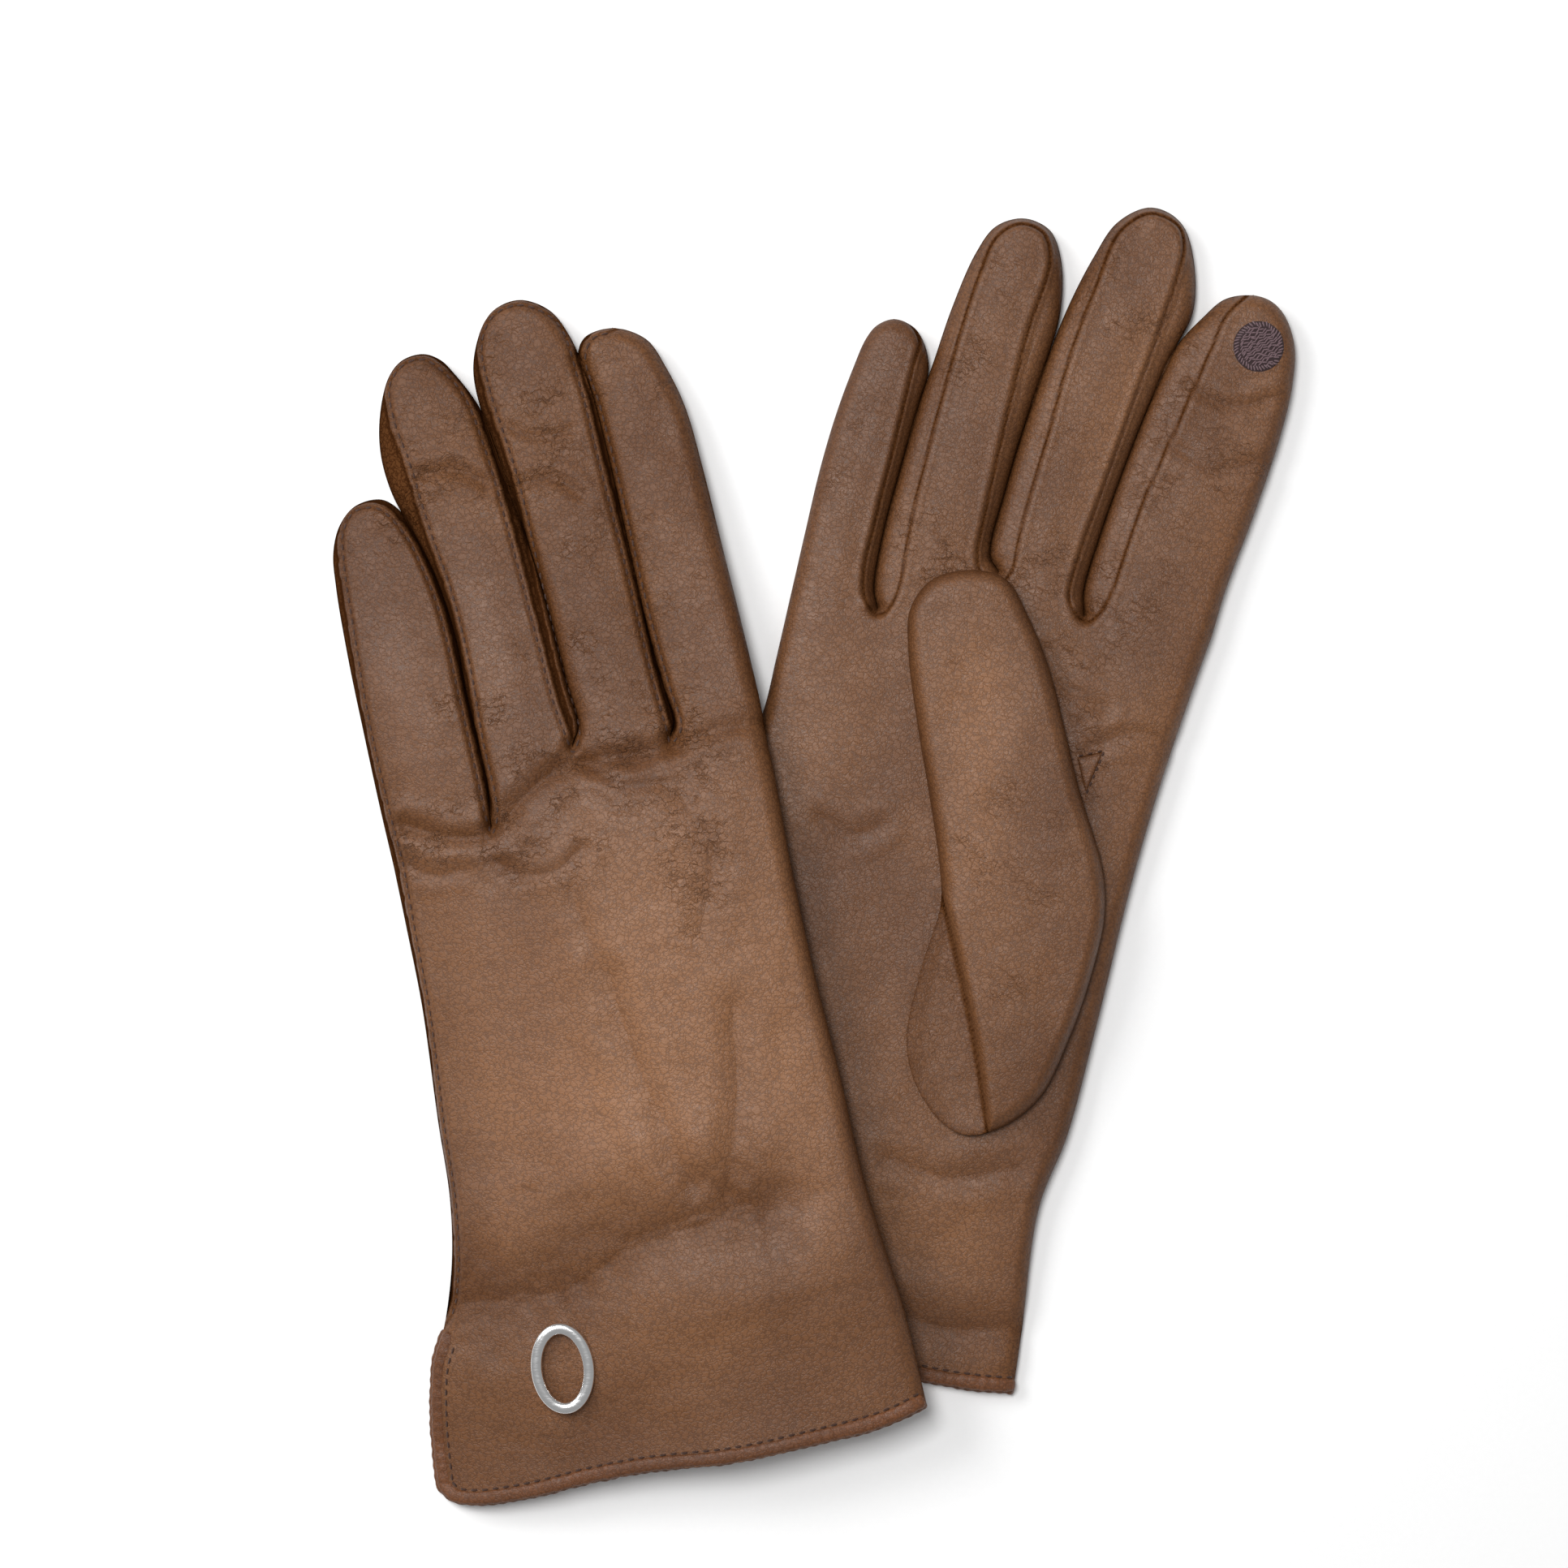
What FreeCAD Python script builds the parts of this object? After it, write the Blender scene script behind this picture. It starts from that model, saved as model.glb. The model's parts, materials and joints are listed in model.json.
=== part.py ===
"""A pair of lined leather touchscreen gloves, laid one over the other on a flat surface.

The right glove lies palm up with its thumb folded over the palm. The left glove lies back up, partly
over the right glove's cuff, with its thumb folded underneath. Each glove is thin leather over a knitted
lining: hand panels, a tube for each finger, strips between the fingers, a thumb, and a bound cuff.

Plan coordinates of a glove: u runs across it towards the index finger, v from the cuff to the fingers,
with the zero at the middle of the cuff. The underside of a glove follows a roof, the lowest of a few
planes z = a + b u + c v, because leather laid over another glove rises and falls. All sizes are in mm.
"""

import FreeCAD
import Part
import math
import os

from FreeCAD import Vector

OUT = "parts"

# Leather, lining and the fullness of an empty glove.
LEATHER = 0.6
LINING = 0.4
SKIN = LEATHER + LINING
FULL = 7.2
CLEAR = 0.3

# Finger slits: how far the hinge line stands above the foot of the slit on each side of the hand.
SLIT_PALM = 8.0
SLIT_BACK = 19.0

# Cuff edge binding, and the vent at the little finger's side.
BIND_WIDTH = 3.0
BIND_THICK = 1.2
VENT_TOP = 37.0

# Thumb: fullness on each hand, and the gap between it and the palm it is folded over.
THUMB_FULL = {"left": 2.6, "right": 6.4}
THUMB_GAP = 0.15
THUMB_HINGE = (21.0, 100.0)
THUMB_LEAN = 27.0
THUMB_LENGTH = 64.0
THUMB_HALF_WIDTHS = (15.0, 12.6)
THUMB_BASE = [
    (35.0, 106.0), (39.2, 93.5), (39.1, 81.3), (38.2, 67.2), (34.0, 55.5), (27.6, 48.0),
    (17.0, 50.0), (10.0, 56.0), (7.7, 63.0), (6.0, 78.0), (7.0, 93.0),
]
THUMB_HOLE = [(30.5, 97.0), (33.5, 82.0), (32.0, 66.0), (24.0, 57.0), (14.5, 63.0), (11.0, 80.0), (12.5, 90.0)]
QUIRK = [(25.4, 127.0), (29.3, 130.4), (28.4, 122.4)]

# Conductive embroidery on the index fingertip.
PATCH_RADIUS = 5.2
PATCH_THICK = 0.3
PATCH_FROM_TIP = 11.5

# Cuff ornament: a plain oval ring on the back of the left glove, held by two prongs and a backing plate.
RING_CENTRE = (-22.4, 22.4)
RING_HALF = (6.3, 9.2)
RING_BAND = 2.1
RING_THICK = 1.2
RING_TURN = -8.0
PRONG_RADIUS = 0.6
BACKING_HALF = (1.6, 8.6)
BACKING_THICK = 0.3

# Care label, sewn inside the left cuff.
LABEL = [(19.0, 5.0), (33.0, 5.0), (33.0, 25.0), (19.0, 25.0)]
LABEL_THICK = 0.25

# How each glove lies. Fingers: hinge u and v, lean towards the little finger in degrees, half widths at
# the hinge and near the tip, length from hinge to tip, and the height of the tip's underside.
GLOVES = {
    "left": {
        "cuff": (-24.31, -122.56),
        "lean": 11.0,
        "palm_up": False,
        "planes": [(10.83, 0.2072, 0.0), (10.476, 0.186, 0.0), (11.4, 0.0, 0.0), (30.92, 0.0, -0.16)],
        "index_edge": [(49.7, 0.0), (46.8, 37.0), (45.0, 58.0), (43.2, 82.0), (42.6, 109.0)],
        "pinky_edge": [(-36.9, 120.0), (-36.9, 98.0), (-38.5, 74.0), (-41.4, 47.4), (-44.4, VENT_TOP)],
        "vent_edge": [(-47.4, VENT_TOP), (-50.6, 25.0), (-52.2, 5.0), (-50.5, 0.0), (-44.0, -2.5)],
        "fingers": {
            "index": (32.7, 164.1, 3.6, 9.4, 8.2, 65.5, 0.7),
            "middle": (13.3, 166.1, 2.4, 9.7, 9.4, 72.9, 0.2),
            "ring": (-7.2, 160.9, 3.4, 8.9, 8.8, 71.1, 0.2),
            "pinky": (-26.5, 157.4, 1.5, 9.4, 8.4, 47.1, 1.4),
        },
    },
    "right": {
        "cuff": (-6.31, -95.56),
        "lean": -17.0,
        "palm_up": True,
        "planes": [(0.0, 0.0, 0.0)],
        "index_edge": [(49.3, 0.0), (46.8, 37.0), (45.0, 58.0), (43.2, 82.0), (42.6, 109.0), (43.2, 144.0)],
        "pinky_edge": [(-40.9, 140.0), (-39.0, 120.0), (-38.4, 95.0), (-39.4, 74.0), (-41.0, 47.4), (-42.0, VENT_TOP)],
        "vent_edge": [(-44.5, VENT_TOP), (-46.0, 25.0), (-46.6, 5.0), (-45.0, 0.0), (-40.0, -2.0)],
        "fingers": {
            "index": (30.5, 169.7, -0.8, 12.2, 10.6, 59.5, 0.0),
            "middle": (6.6, 166.9, 1.1, 9.7, 10.6, 73.7, 0.0),
            "ring": (-14.4, 161.4, 4.3, 9.8, 10.4, 69.8, 0.0),
            "pinky": (-33.0, 152.6, 5.2, 8.2, 7.9, 51.2, 0.0),
        },
    },
}
FINGER_ORDER = ["index", "middle", "ring", "pinky"]
BIG = 400.0
TIP_SEGMENTS = 3


def height(glove, u, v):
    """Height of the glove's underside at a plan point."""
    return min(a + b * u + c * v for a, b, c in glove["planes"])


def clip(points, a, b, c):
    """The part of a plan polygon where a + b u + c v is at most 0."""
    kept = []
    for i, p in enumerate(points):
        q = points[(i + 1) % len(points)]
        fp = a + b * p[0] + c * p[1]
        fq = a + b * q[0] + c * q[1]
        if fp <= 0:
            kept.append(p)
        if (fp < 0 < fq) or (fq < 0 < fp):
            t = fp / (fp - fq)
            kept.append((p[0] + t * (q[0] - p[0]), p[1] + t * (q[1] - p[1])))
    return kept


def facets(glove):
    """For each plane of the roof, the plan polygon where it is the lowest."""
    found = []
    for i, (a, b, c) in enumerate(glove["planes"]):
        region = [(-BIG, -BIG), (BIG, -BIG), (BIG, BIG), (-BIG, BIG)]
        for j, (d, e, f) in enumerate(glove["planes"]):
            if i != j and region:
                region = clip(region, a - d, b - e, c - f)
        if region:
            found.append(((a, b, c), region))
    return found


def face(points, z=0.0):
    """A flat face on plan points, all at one height."""
    corners = [Vector(u, v, z) for u, v in points]
    return Part.Face(Part.makePolygon(corners + corners[:1]))


def prism(points, low, high):
    """A straight prism on plan points between two heights."""
    return face(points, low).extrude(Vector(0, 0, high - low))


def layer(glove, outline, low, high, holes=()):
    """Solids of a layer on a plan outline, from low to high above the glove's underside."""
    column = prism(outline, -BIG, BIG)
    for hole in holes:
        column = column.cut(prism(hole, -BIG, BIG))
    return roof_cut(glove, column, low, high)


def roof_cut(glove, column, low, high):
    """The parts of an upright column between two heights above the glove's underside, one per facet."""
    solids = []
    for (a, b, c), region in facets(glove):
        corners = [Vector(u, v, a + b * u + c * v + low) for u, v in region]
        slab = Part.Face(Part.makePolygon(corners + corners[:1])).extrude(Vector(0, 0, high - low))
        solids += [s for s in column.common(slab).Solids if s.Volume > 0.05]
    return solids


def turned(point, lean):
    """A plan offset turned by lean degrees, anticlockwise."""
    angle = math.radians(lean)
    x, y = point
    return (x * math.cos(angle) - y * math.sin(angle), x * math.sin(angle) + y * math.cos(angle))


def at_finger(finger, across, along):
    """The plan point at a distance across and along from a finger's hinge centre."""
    du, dv = turned((across, along), finger[2])
    return (finger[0] + du, finger[1] + dv)


def finger_pairs(glove):
    """Neighbouring fingers, from the index finger to the little finger."""
    rows = [glove["fingers"][name] for name in FINGER_ORDER]
    return list(zip(rows, rows[1:]))


def slit_foot(one, two, depth, inset=0.0):
    """The foot of the slit between two fingers: a point on each finger's side, level with each other."""
    sides = ((one, inset - one[3]), (two, two[3] - inset))
    tops = [(at_finger(finger, half, 0.0), finger[2]) for finger, half in sides]
    level = min(top[1] for top, _ in tops) - depth
    return [(top[0] + (top[1] - level) * math.tan(math.radians(lean)), level) for top, lean in tops]


def hand_outline(glove, slit, inset=0.0):
    """The hand panel with its four finger stubs; slit is the depth of the slits between the stubs."""
    rows = [glove["fingers"][name] for name in FINGER_ORDER]
    first, last = rows[0], rows[-1]
    points = list(glove["index_edge"]) + [at_finger(first, first[3] - inset, -slit)]
    for i, finger in enumerate(rows):
        half = finger[3] - inset
        points.append(at_finger(finger, half, -CLEAR))
        points.append(at_finger(finger, -half, -CLEAR))
        if i + 1 < len(rows):
            points += slit_foot(finger, rows[i + 1], slit + inset, inset)
    points.append(at_finger(last, inset - last[3], -slit))
    points += glove["pinky_edge"] + glove["vent_edge"]
    if inset:
        middle = [(u - math.copysign(inset, u), v) for u, v in glove["index_edge"]]
        far = [(u - math.copysign(inset, u), v) for u, v in glove["pinky_edge"] + glove["vent_edge"]]
        points[: len(middle)] = middle
        points[-len(far):] = far
    return points


def cuff_band(glove):
    """The bound edge: a band along the vent and the bottom of the cuff."""
    outer = glove["vent_edge"] + [glove["index_edge"][0]]
    inner = [(u + BIND_WIDTH, v) for u, v in glove["vent_edge"][:3]]
    corner = glove["vent_edge"][-1]
    end = glove["index_edge"][0]
    inner += [(corner[0] + 0.5, corner[1] + BIND_WIDTH), (end[0] - 0.25, end[1] + BIND_WIDTH)]
    return outer + inner[::-1]


def edge_wall(glove, points):
    """Walls along an edge of the hand, one for each straight stretch, inside the given plan points."""
    solids = []
    for one, two in zip(points, points[1:]):
        inner = [(u - math.copysign(LEATHER, u), v) for u, v in (two, one)]
        solids += layer(glove, [one, two] + inner, LEATHER, FULL - LEATHER)
    return solids


def half_width(finger, along):
    """Half the width of a finger at a distance from its hinge."""
    base, tip, length = finger[3:6]
    return base + (tip - base) * along / (length - tip)


def side_strip(finger, side, near, far):
    """A plan strip one leather thick along a finger's left or right side, between two distances."""
    corners = ((0.0, near), (0.0, far), (LEATHER, far), (LEATHER, near))
    return [(side * (half_width(finger, along) - depth), along) for depth, along in corners]


def tip_outline(finger, inset=0.0, start=CLEAR):
    """The plan face of a finger beyond its hinge: straight sides and a round tip, in finger coordinates."""
    tip, length = finger[4] - inset, finger[5] - inset
    base = half_width(finger, start) - inset
    shoulder = length - tip
    left, right = Vector(-tip, shoulder, 0), Vector(tip, shoulder, 0)
    foot_left, foot_right = Vector(-base, start, 0), Vector(base, start, 0)
    arc = Part.Arc(right, Vector(0, length, 0), left).toShape()
    edges = [
        Part.makeLine(foot_left, foot_right),
        Part.makeLine(foot_right, right),
        arc,
        Part.makeLine(left, foot_left),
    ]
    return Part.Face(Part.Wire(edges))


def tube_leather(finger, full):
    """Leather of a finger or thumb tube: two panels and the curved wall round the tip, in segments."""
    panel = tip_outline(finger)
    low = panel.extrude(Vector(0, 0, LEATHER))
    high = panel.extrude(Vector(0, 0, LEATHER))
    high.translate(Vector(0, 0, full - LEATHER))
    ring = tip_outline(finger).cut(tip_outline(finger, LEATHER)).extrude(Vector(0, 0, full - 2 * LEATHER))
    ring.translate(Vector(0, 0, LEATHER))
    shoulder = finger[5] - finger[4]
    solids = [low, high]
    for i in range(TIP_SEGMENTS):
        first, last = (math.pi * n / TIP_SEGMENTS for n in (i, i + 1))
        wedge = [(0.0, shoulder)]
        for angle in (first, (first + last) / 2, last):
            wedge.append((60 * math.cos(angle), shoulder + 60 * math.sin(angle)))
        solids += ring.common(prism(wedge, -BIG, BIG)).Solids
    return solids


def tube_side(finger, side, full):
    """One straight side wall of a tube, from its hinge to where the tip starts to curve."""
    strip = side_strip(finger, side, CLEAR, finger[5] - finger[4])
    return prism(strip, LEATHER, full - LEATHER)


def tube_lining(finger, full):
    """The lining of a tube: one thin closed-ended sleeve, open at the hinge."""
    outer = tip_outline(finger, LEATHER).extrude(Vector(0, 0, full - 2 * LEATHER))
    outer.translate(Vector(0, 0, LEATHER))
    inner = tip_outline(finger, SKIN, start=-1.0).extrude(Vector(0, 0, full - 2 * SKIN))
    inner.translate(Vector(0, 0, SKIN))
    return outer.cut(inner)


def finger_place(glove, finger):
    """Carries finger coordinates to plan coordinates: hinge position, lean, roll and droop to the tip."""
    u, v, lean, base, _, length, tip_z = finger
    z = height(glove, u, v)
    across = [height(glove, *at_finger(finger, side * base, -CLEAR)) for side in (-1, 1)]
    roll = math.degrees(math.atan((across[1] - across[0]) / (2 * base)))
    droop = math.degrees(math.asin((z - tip_z) / length))
    place = FreeCAD.Placement(Vector(u, v, z), FreeCAD.Rotation(Vector(0, 0, 1), lean))
    tilt = FreeCAD.Rotation(Vector(1, 0, 0), -droop).multiply(FreeCAD.Rotation(Vector(0, 1, 0), -roll))
    return place.multiply(FreeCAD.Placement(Vector(0, 0, 0), tilt))


def lay(glove):
    """Carries plan coordinates of a glove to the part's frame."""
    x, y = glove["cuff"]
    return FreeCAD.Placement(Vector(x, y, 0), FreeCAD.Rotation(Vector(0, 0, 1), glove["lean"]))


def thumb_finger(side):
    """The thumb tube as a finger row: its droop keeps it between the palm and what lies below."""
    base, tip = THUMB_HALF_WIDTHS
    tip_z = 2.3 if side == "left" else FULL + THUMB_GAP
    return (*THUMB_HINGE, THUMB_LEAN, base, tip, THUMB_LENGTH, tip_z)


def thumb_foot(side):
    """Height of the underside of the thumb at its hinge."""
    glove = GLOVES[side]
    if side == "left":
        return height(glove, *THUMB_HINGE) - THUMB_GAP - THUMB_FULL[side]
    return FULL + THUMB_GAP


def thumb_place(side):
    """Carries thumb coordinates to plan coordinates."""
    finger = thumb_finger(side)
    z = thumb_foot(side)
    droop = math.degrees(math.asin((z - finger[6]) / finger[5]))
    place = FreeCAD.Placement(Vector(finger[0], finger[1], z), FreeCAD.Rotation(Vector(0, 0, 1), finger[2]))
    return place.multiply(FreeCAD.Placement(Vector(0, 0, 0), FreeCAD.Rotation(Vector(1, 0, 0), -droop)))


def placed(shapes, *places):
    """Copies of shapes, carried by each placement in turn."""
    result = []
    for shape in shapes:
        copy = shape.copy()
        for place in places:
            copy.Placement = place.multiply(copy.Placement)
        result.append(copy)
    return result


def hand_panels(side, nodes):
    """Back and palm leather, the walls at both edges, the lining and the bound cuff."""
    glove = GLOVES[side]
    low, high = (0.0, LEATHER), (FULL - LEATHER, FULL)
    back_z, palm_z = (low, high) if glove["palm_up"] else (high, low)
    band = cuff_band(glove)
    back = layer(glove, hand_outline(glove, SLIT_BACK), *back_z, holes=[band] + ring_prong_holes(side))
    palm = layer(glove, hand_outline(glove, SLIT_PALM), *palm_z, holes=[band, THUMB_HOLE, QUIRK])
    index, pinky = glove["fingers"]["index"], glove["fingers"]["pinky"]
    fold = [(u, max(v, BIND_WIDTH)) for u, v in glove["index_edge"]]
    fold += [at_finger(index, index[3], -SLIT_PALM), at_finger(index, index[3], -CLEAR)]
    seam = [at_finger(pinky, -pinky[3], -CLEAR), at_finger(pinky, -pinky[3], -SLIT_PALM)] + glove["pinky_edge"]
    palm += edge_wall(glove, fold)
    nodes[side + "_back_leather"] = back
    nodes[side + "_palm_leather"] = palm
    nodes[side + "_outer_seam"] = edge_wall(glove, seam)
    nodes[side + "_thumb_quirk"] = layer(glove, QUIRK, *palm_z)
    bottom_bind, top_bind = (0.0, BIND_THICK), (FULL - BIND_THICK, FULL)
    back_bind, palm_bind = (bottom_bind, top_bind) if glove["palm_up"] else (top_bind, bottom_bind)
    nodes[side + "_cuff_binding_back"] = layer(glove, band, *back_bind)
    nodes[side + "_cuff_binding_palm"] = layer(glove, band, *palm_bind)
    lining = hand_outline(glove, SLIT_PALM, LEATHER + 0.1)
    palm_lining, back_lining = (LEATHER, SKIN), (FULL - SKIN, FULL - LEATHER)
    if glove["palm_up"]:
        palm_lining, back_lining = back_lining, palm_lining
    nodes[side + "_hand_lining"] = layer(glove, lining, *palm_lining, holes=[band, THUMB_HOLE])
    nodes[side + "_hand_lining"] += layer(glove, lining, *back_lining, holes=[band])


def fourchette_roots(side, nodes):
    """The foot of each strip between two fingers: a wall round the slit, and the point that runs on
    between the back panel's deeper slit."""
    glove = GLOVES[side]
    back = (0.0, LEATHER) if glove["palm_up"] else (FULL - LEATHER, FULL)
    solids = []
    for one, two in finger_pairs(glove):
        outer = slit_foot(one, two, SLIT_PALM + LEATHER, LEATHER)
        wall = [at_finger(one, LEATHER - one[3], -CLEAR)] + outer + [at_finger(two, two[3] - LEATHER, -CLEAR)]
        inner = slit_foot(one, two, SLIT_PALM)
        wall += [at_finger(two, two[3], -CLEAR)] + inner[::-1] + [at_finger(one, -one[3], -CLEAR)]
        solids += layer(glove, wall, LEATHER, FULL - LEATHER)
        solids += layer(glove, inner + slit_foot(one, two, SLIT_BACK)[::-1], *back)
    nodes[side + "_fourchette_roots"] = solids


def fingers(side, nodes):
    """Each finger beyond its hinge: leather panels, side strips and lining."""
    glove = GLOVES[side]
    for name in FINGER_ORDER:
        finger = glove["fingers"][name]
        place = finger_place(glove, finger)
        leather = tube_leather(finger, FULL)
        for edge in (1, -1):
            wall = tube_side(finger, edge, FULL)
            outside = (name == "index" and edge == 1) or (name == "pinky" and edge == -1)
            if outside:
                leather.append(wall)
            else:
                neighbour = FINGER_ORDER[FINGER_ORDER.index(name) - edge]
                nodes[f"{side}_{name}_fourchette_by_{neighbour}"] = placed([wall], place)
        nodes[f"{side}_{name}_leather"] = placed(leather, place)
        nodes[f"{side}_{name}_lining"] = placed([tube_lining(finger, FULL)], place)


def thumb(side, nodes):
    """The thumb: a base sewn round the thumb hole, and the tube that swings away from the palm."""
    full, foot = THUMB_FULL[side], thumb_foot(side)
    finger = thumb_finger(side)
    place = thumb_place(side)
    leather = tube_leather(finger, full)
    leather += [tube_side(finger, edge, full) for edge in (1, -1)]
    nodes[side + "_thumb_leather"] = placed(leather, place)
    nodes[side + "_thumb_lining"] = placed([tube_lining(finger, full)], place)
    base = list(THUMB_BASE)
    cover = foot + full - LEATHER if side == "right" else foot
    walls = (foot, cover) if side == "right" else (foot + LEATHER, foot + full)
    solids = [prism(base, cover, cover + LEATHER)]
    middle = (sum(p[0] for p in base) / len(base), sum(p[1] for p in base) / len(base))
    inner = [(u + (middle[0] - u) * 0.06, v + (middle[1] - v) * 0.04) for u, v in base]
    for i in range(len(base) - 1):
        solids.append(prism([base[i], base[i + 1], inner[i + 1], inner[i]], *walls))
    nodes[side + "_thumb_base"] = solids


def patch(side, nodes):
    """The round embroidered patch on the palm side of the index fingertip."""
    glove = GLOVES[side]
    finger = glove["fingers"]["index"]
    low = FULL if glove["palm_up"] else -PATCH_THICK
    centre = Vector(0, finger[5] - PATCH_FROM_TIP, low)
    disc = Part.makeCylinder(PATCH_RADIUS, PATCH_THICK, centre)
    nodes[side + "_touch_patch"] = placed([disc], finger_place(glove, finger))


def ring_prong_points():
    """Plan points of the two prongs, at the ends of the ring's long axis."""
    reach = RING_HALF[1] - RING_BAND / 2
    ends = [turned((0.0, sign * reach), RING_TURN) for sign in (1, -1)]
    return [(RING_CENTRE[0] + u, RING_CENTRE[1] + v) for u, v in ends]


def ring_prong_holes(side):
    """Square holes in the back leather for the prongs, on the left glove only."""
    if side != "left":
        return []
    r = PRONG_RADIUS
    return [[(u - r, v - r), (u + r, v - r), (u + r, v + r), (u - r, v + r)] for u, v in ring_prong_points()]


def ornament(nodes):
    """The plain oval ring with its prongs, and the plate that holds them behind the leather."""
    glove = GLOVES["left"]
    turn = FreeCAD.Placement(Vector(*RING_CENTRE, 0), FreeCAD.Rotation(Vector(0, 0, 1), RING_TURN))

    def column(half_u, half_v):
        rim = Part.Ellipse(Vector(0, half_v, 0), Vector(half_u, 0, 0), Vector(0, 0, 0)).toShape()
        shape = Part.Face(Part.Wire([rim])).extrude(Vector(0, 0, 2 * BIG))
        shape.translate(Vector(0, 0, -BIG))
        return placed([shape], turn)[0]

    band = column(*RING_HALF).cut(column(RING_HALF[0] - RING_BAND, RING_HALF[1] - RING_BAND))
    ring = roof_cut(glove, band, FULL, FULL + RING_THICK)
    prongs = []
    for hole in ring_prong_holes("left"):
        prongs += layer(glove, hole, FULL - LEATHER, FULL)
    nodes["left_ornament_ring"] = [ring[0].fuse(prongs).removeSplitter()]
    half_u, half_v = BACKING_HALF
    corners = [turned(p, RING_TURN) for p in ((half_u, half_v), (-half_u, half_v), (-half_u, -half_v), (half_u, -half_v))]
    plate = [(RING_CENTRE[0] + u, RING_CENTRE[1] + v) for u, v in corners]
    backing = layer(glove, plate, FULL - LEATHER - BACKING_THICK, FULL - LEATHER)
    nodes["left_ornament_backing"] = backing
    lining = []
    for solid in nodes["left_hand_lining"]:
        lining += solid.cut(backing).Solids
    nodes["left_hand_lining"] = lining


def label(nodes):
    """The blank care label on the palm lining, inside the left cuff."""
    nodes["left_care_label"] = layer(GLOVES["left"], LABEL, SKIN, SKIN + LABEL_THICK)


def joint_frames():
    """Each joint's point and axis in the part's frame: hinges on the surface the tube folds towards."""
    found = {}
    for side, glove in GLOVES.items():
        rows = {name: (finger_place(glove, glove["fingers"][name]), FULL, 1) for name in FINGER_ORDER}
        if side == "right":
            rows["thumb"] = (thumb_place(side), THUMB_FULL[side], 1)
        else:
            rows["thumb"] = (thumb_place(side), 0.0, -1)
        for name, (place, top, sign) in rows.items():
            whole = lay(glove).multiply(place)
            point = whole.multVec(Vector(0, 0, top))
            axis = whole.Rotation.multVec(Vector(sign, 0, 0))
            found[f"{side}_{name}"] = (point, axis)
    return found


def build():
    """Every node's solids in the part's frame."""
    nodes = {}
    for side in GLOVES:
        made = {}
        hand_panels(side, made)
        fourchette_roots(side, made)
        fingers(side, made)
        thumb(side, made)
        patch(side, made)
        if side == "left":
            ornament(made)
            label(made)
        for name, solids in made.items():
            nodes[name] = placed(solids, lay(GLOVES[side]))
    return nodes


NODES = build()
os.makedirs(OUT, exist_ok=True)
for node, solids in NODES.items():
    Part.makeCompound(solids).exportStep(os.path.join(OUT, node + ".step"))
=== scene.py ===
import json
import math
from functools import partial
import bpy
import numpy as np
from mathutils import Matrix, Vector
from mathutils.kdtree import KDTree


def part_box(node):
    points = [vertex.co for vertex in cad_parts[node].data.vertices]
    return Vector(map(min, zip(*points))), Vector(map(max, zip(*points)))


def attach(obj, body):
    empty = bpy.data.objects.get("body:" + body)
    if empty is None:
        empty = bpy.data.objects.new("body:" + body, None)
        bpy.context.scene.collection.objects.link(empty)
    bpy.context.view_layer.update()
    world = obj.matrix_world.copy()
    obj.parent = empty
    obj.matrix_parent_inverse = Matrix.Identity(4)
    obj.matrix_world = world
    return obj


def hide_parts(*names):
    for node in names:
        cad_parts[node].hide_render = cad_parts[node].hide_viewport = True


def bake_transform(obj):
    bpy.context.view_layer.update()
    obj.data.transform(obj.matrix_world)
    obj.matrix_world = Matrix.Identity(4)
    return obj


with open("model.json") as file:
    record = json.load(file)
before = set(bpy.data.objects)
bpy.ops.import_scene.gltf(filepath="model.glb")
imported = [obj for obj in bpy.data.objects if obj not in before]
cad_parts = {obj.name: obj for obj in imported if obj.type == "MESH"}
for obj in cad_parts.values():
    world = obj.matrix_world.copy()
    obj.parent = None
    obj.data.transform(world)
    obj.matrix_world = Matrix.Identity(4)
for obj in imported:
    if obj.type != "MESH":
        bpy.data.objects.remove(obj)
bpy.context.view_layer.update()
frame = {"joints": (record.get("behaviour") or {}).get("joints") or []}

MM = 0.001
SIDES = ("left", "right")
FINGERS = ("pinky", "ring", "middle", "index")

# Mesh fineness: columns across each finger, rows along a finger and along the hand.
COLS, FINGER_ROWS, HAND_ROWS = ((60, 220, 250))

# Outline points in millimetres, in the frame of the part. They were measured, then scaled and
# moved by one conversion, and aren't worked out from driving dimensions.
# The slits between neighbouring fingers, from the crotch outwards: little and ring finger first.
LEFT_GAPS = [
    [(-65.1, 6.1), (-66.0, 15.0), (-68.5, 25.5), (-70.5, 33.8), (-72.6, 44.4), (-76.9, 57.2), (-81.1, 65.5)],
    [(-48.5, 22.7), (-47.4, 26.3), (-50.0, 36.0), (-54.2, 52.2), (-58.3, 65.5)],
    [(-28.6, 24.5), (-27.8, 27.3), (-29.6, 33.1), (-32.3, 42.1), (-37.6, 64.8), (-41.7, 82.9), (-45.6, 97.4)],
]
RIGHT_GAPS = [
    [(13.7, 50.9), (13.0, 54.7), (14.9, 66.2), (18.6, 80.0), (22.6, 93.9)],
    [(38.6, 58.4), (36.9, 61.5), (40.0, 75.0), (43.8, 87.8), (48.6, 102.0)],
    [(56.2, 49.4), (56.1, 54.1), (59.3, 65.2), (64.4, 79.6), (69.7, 92.9), (75.0, 104.4)],
]
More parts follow.
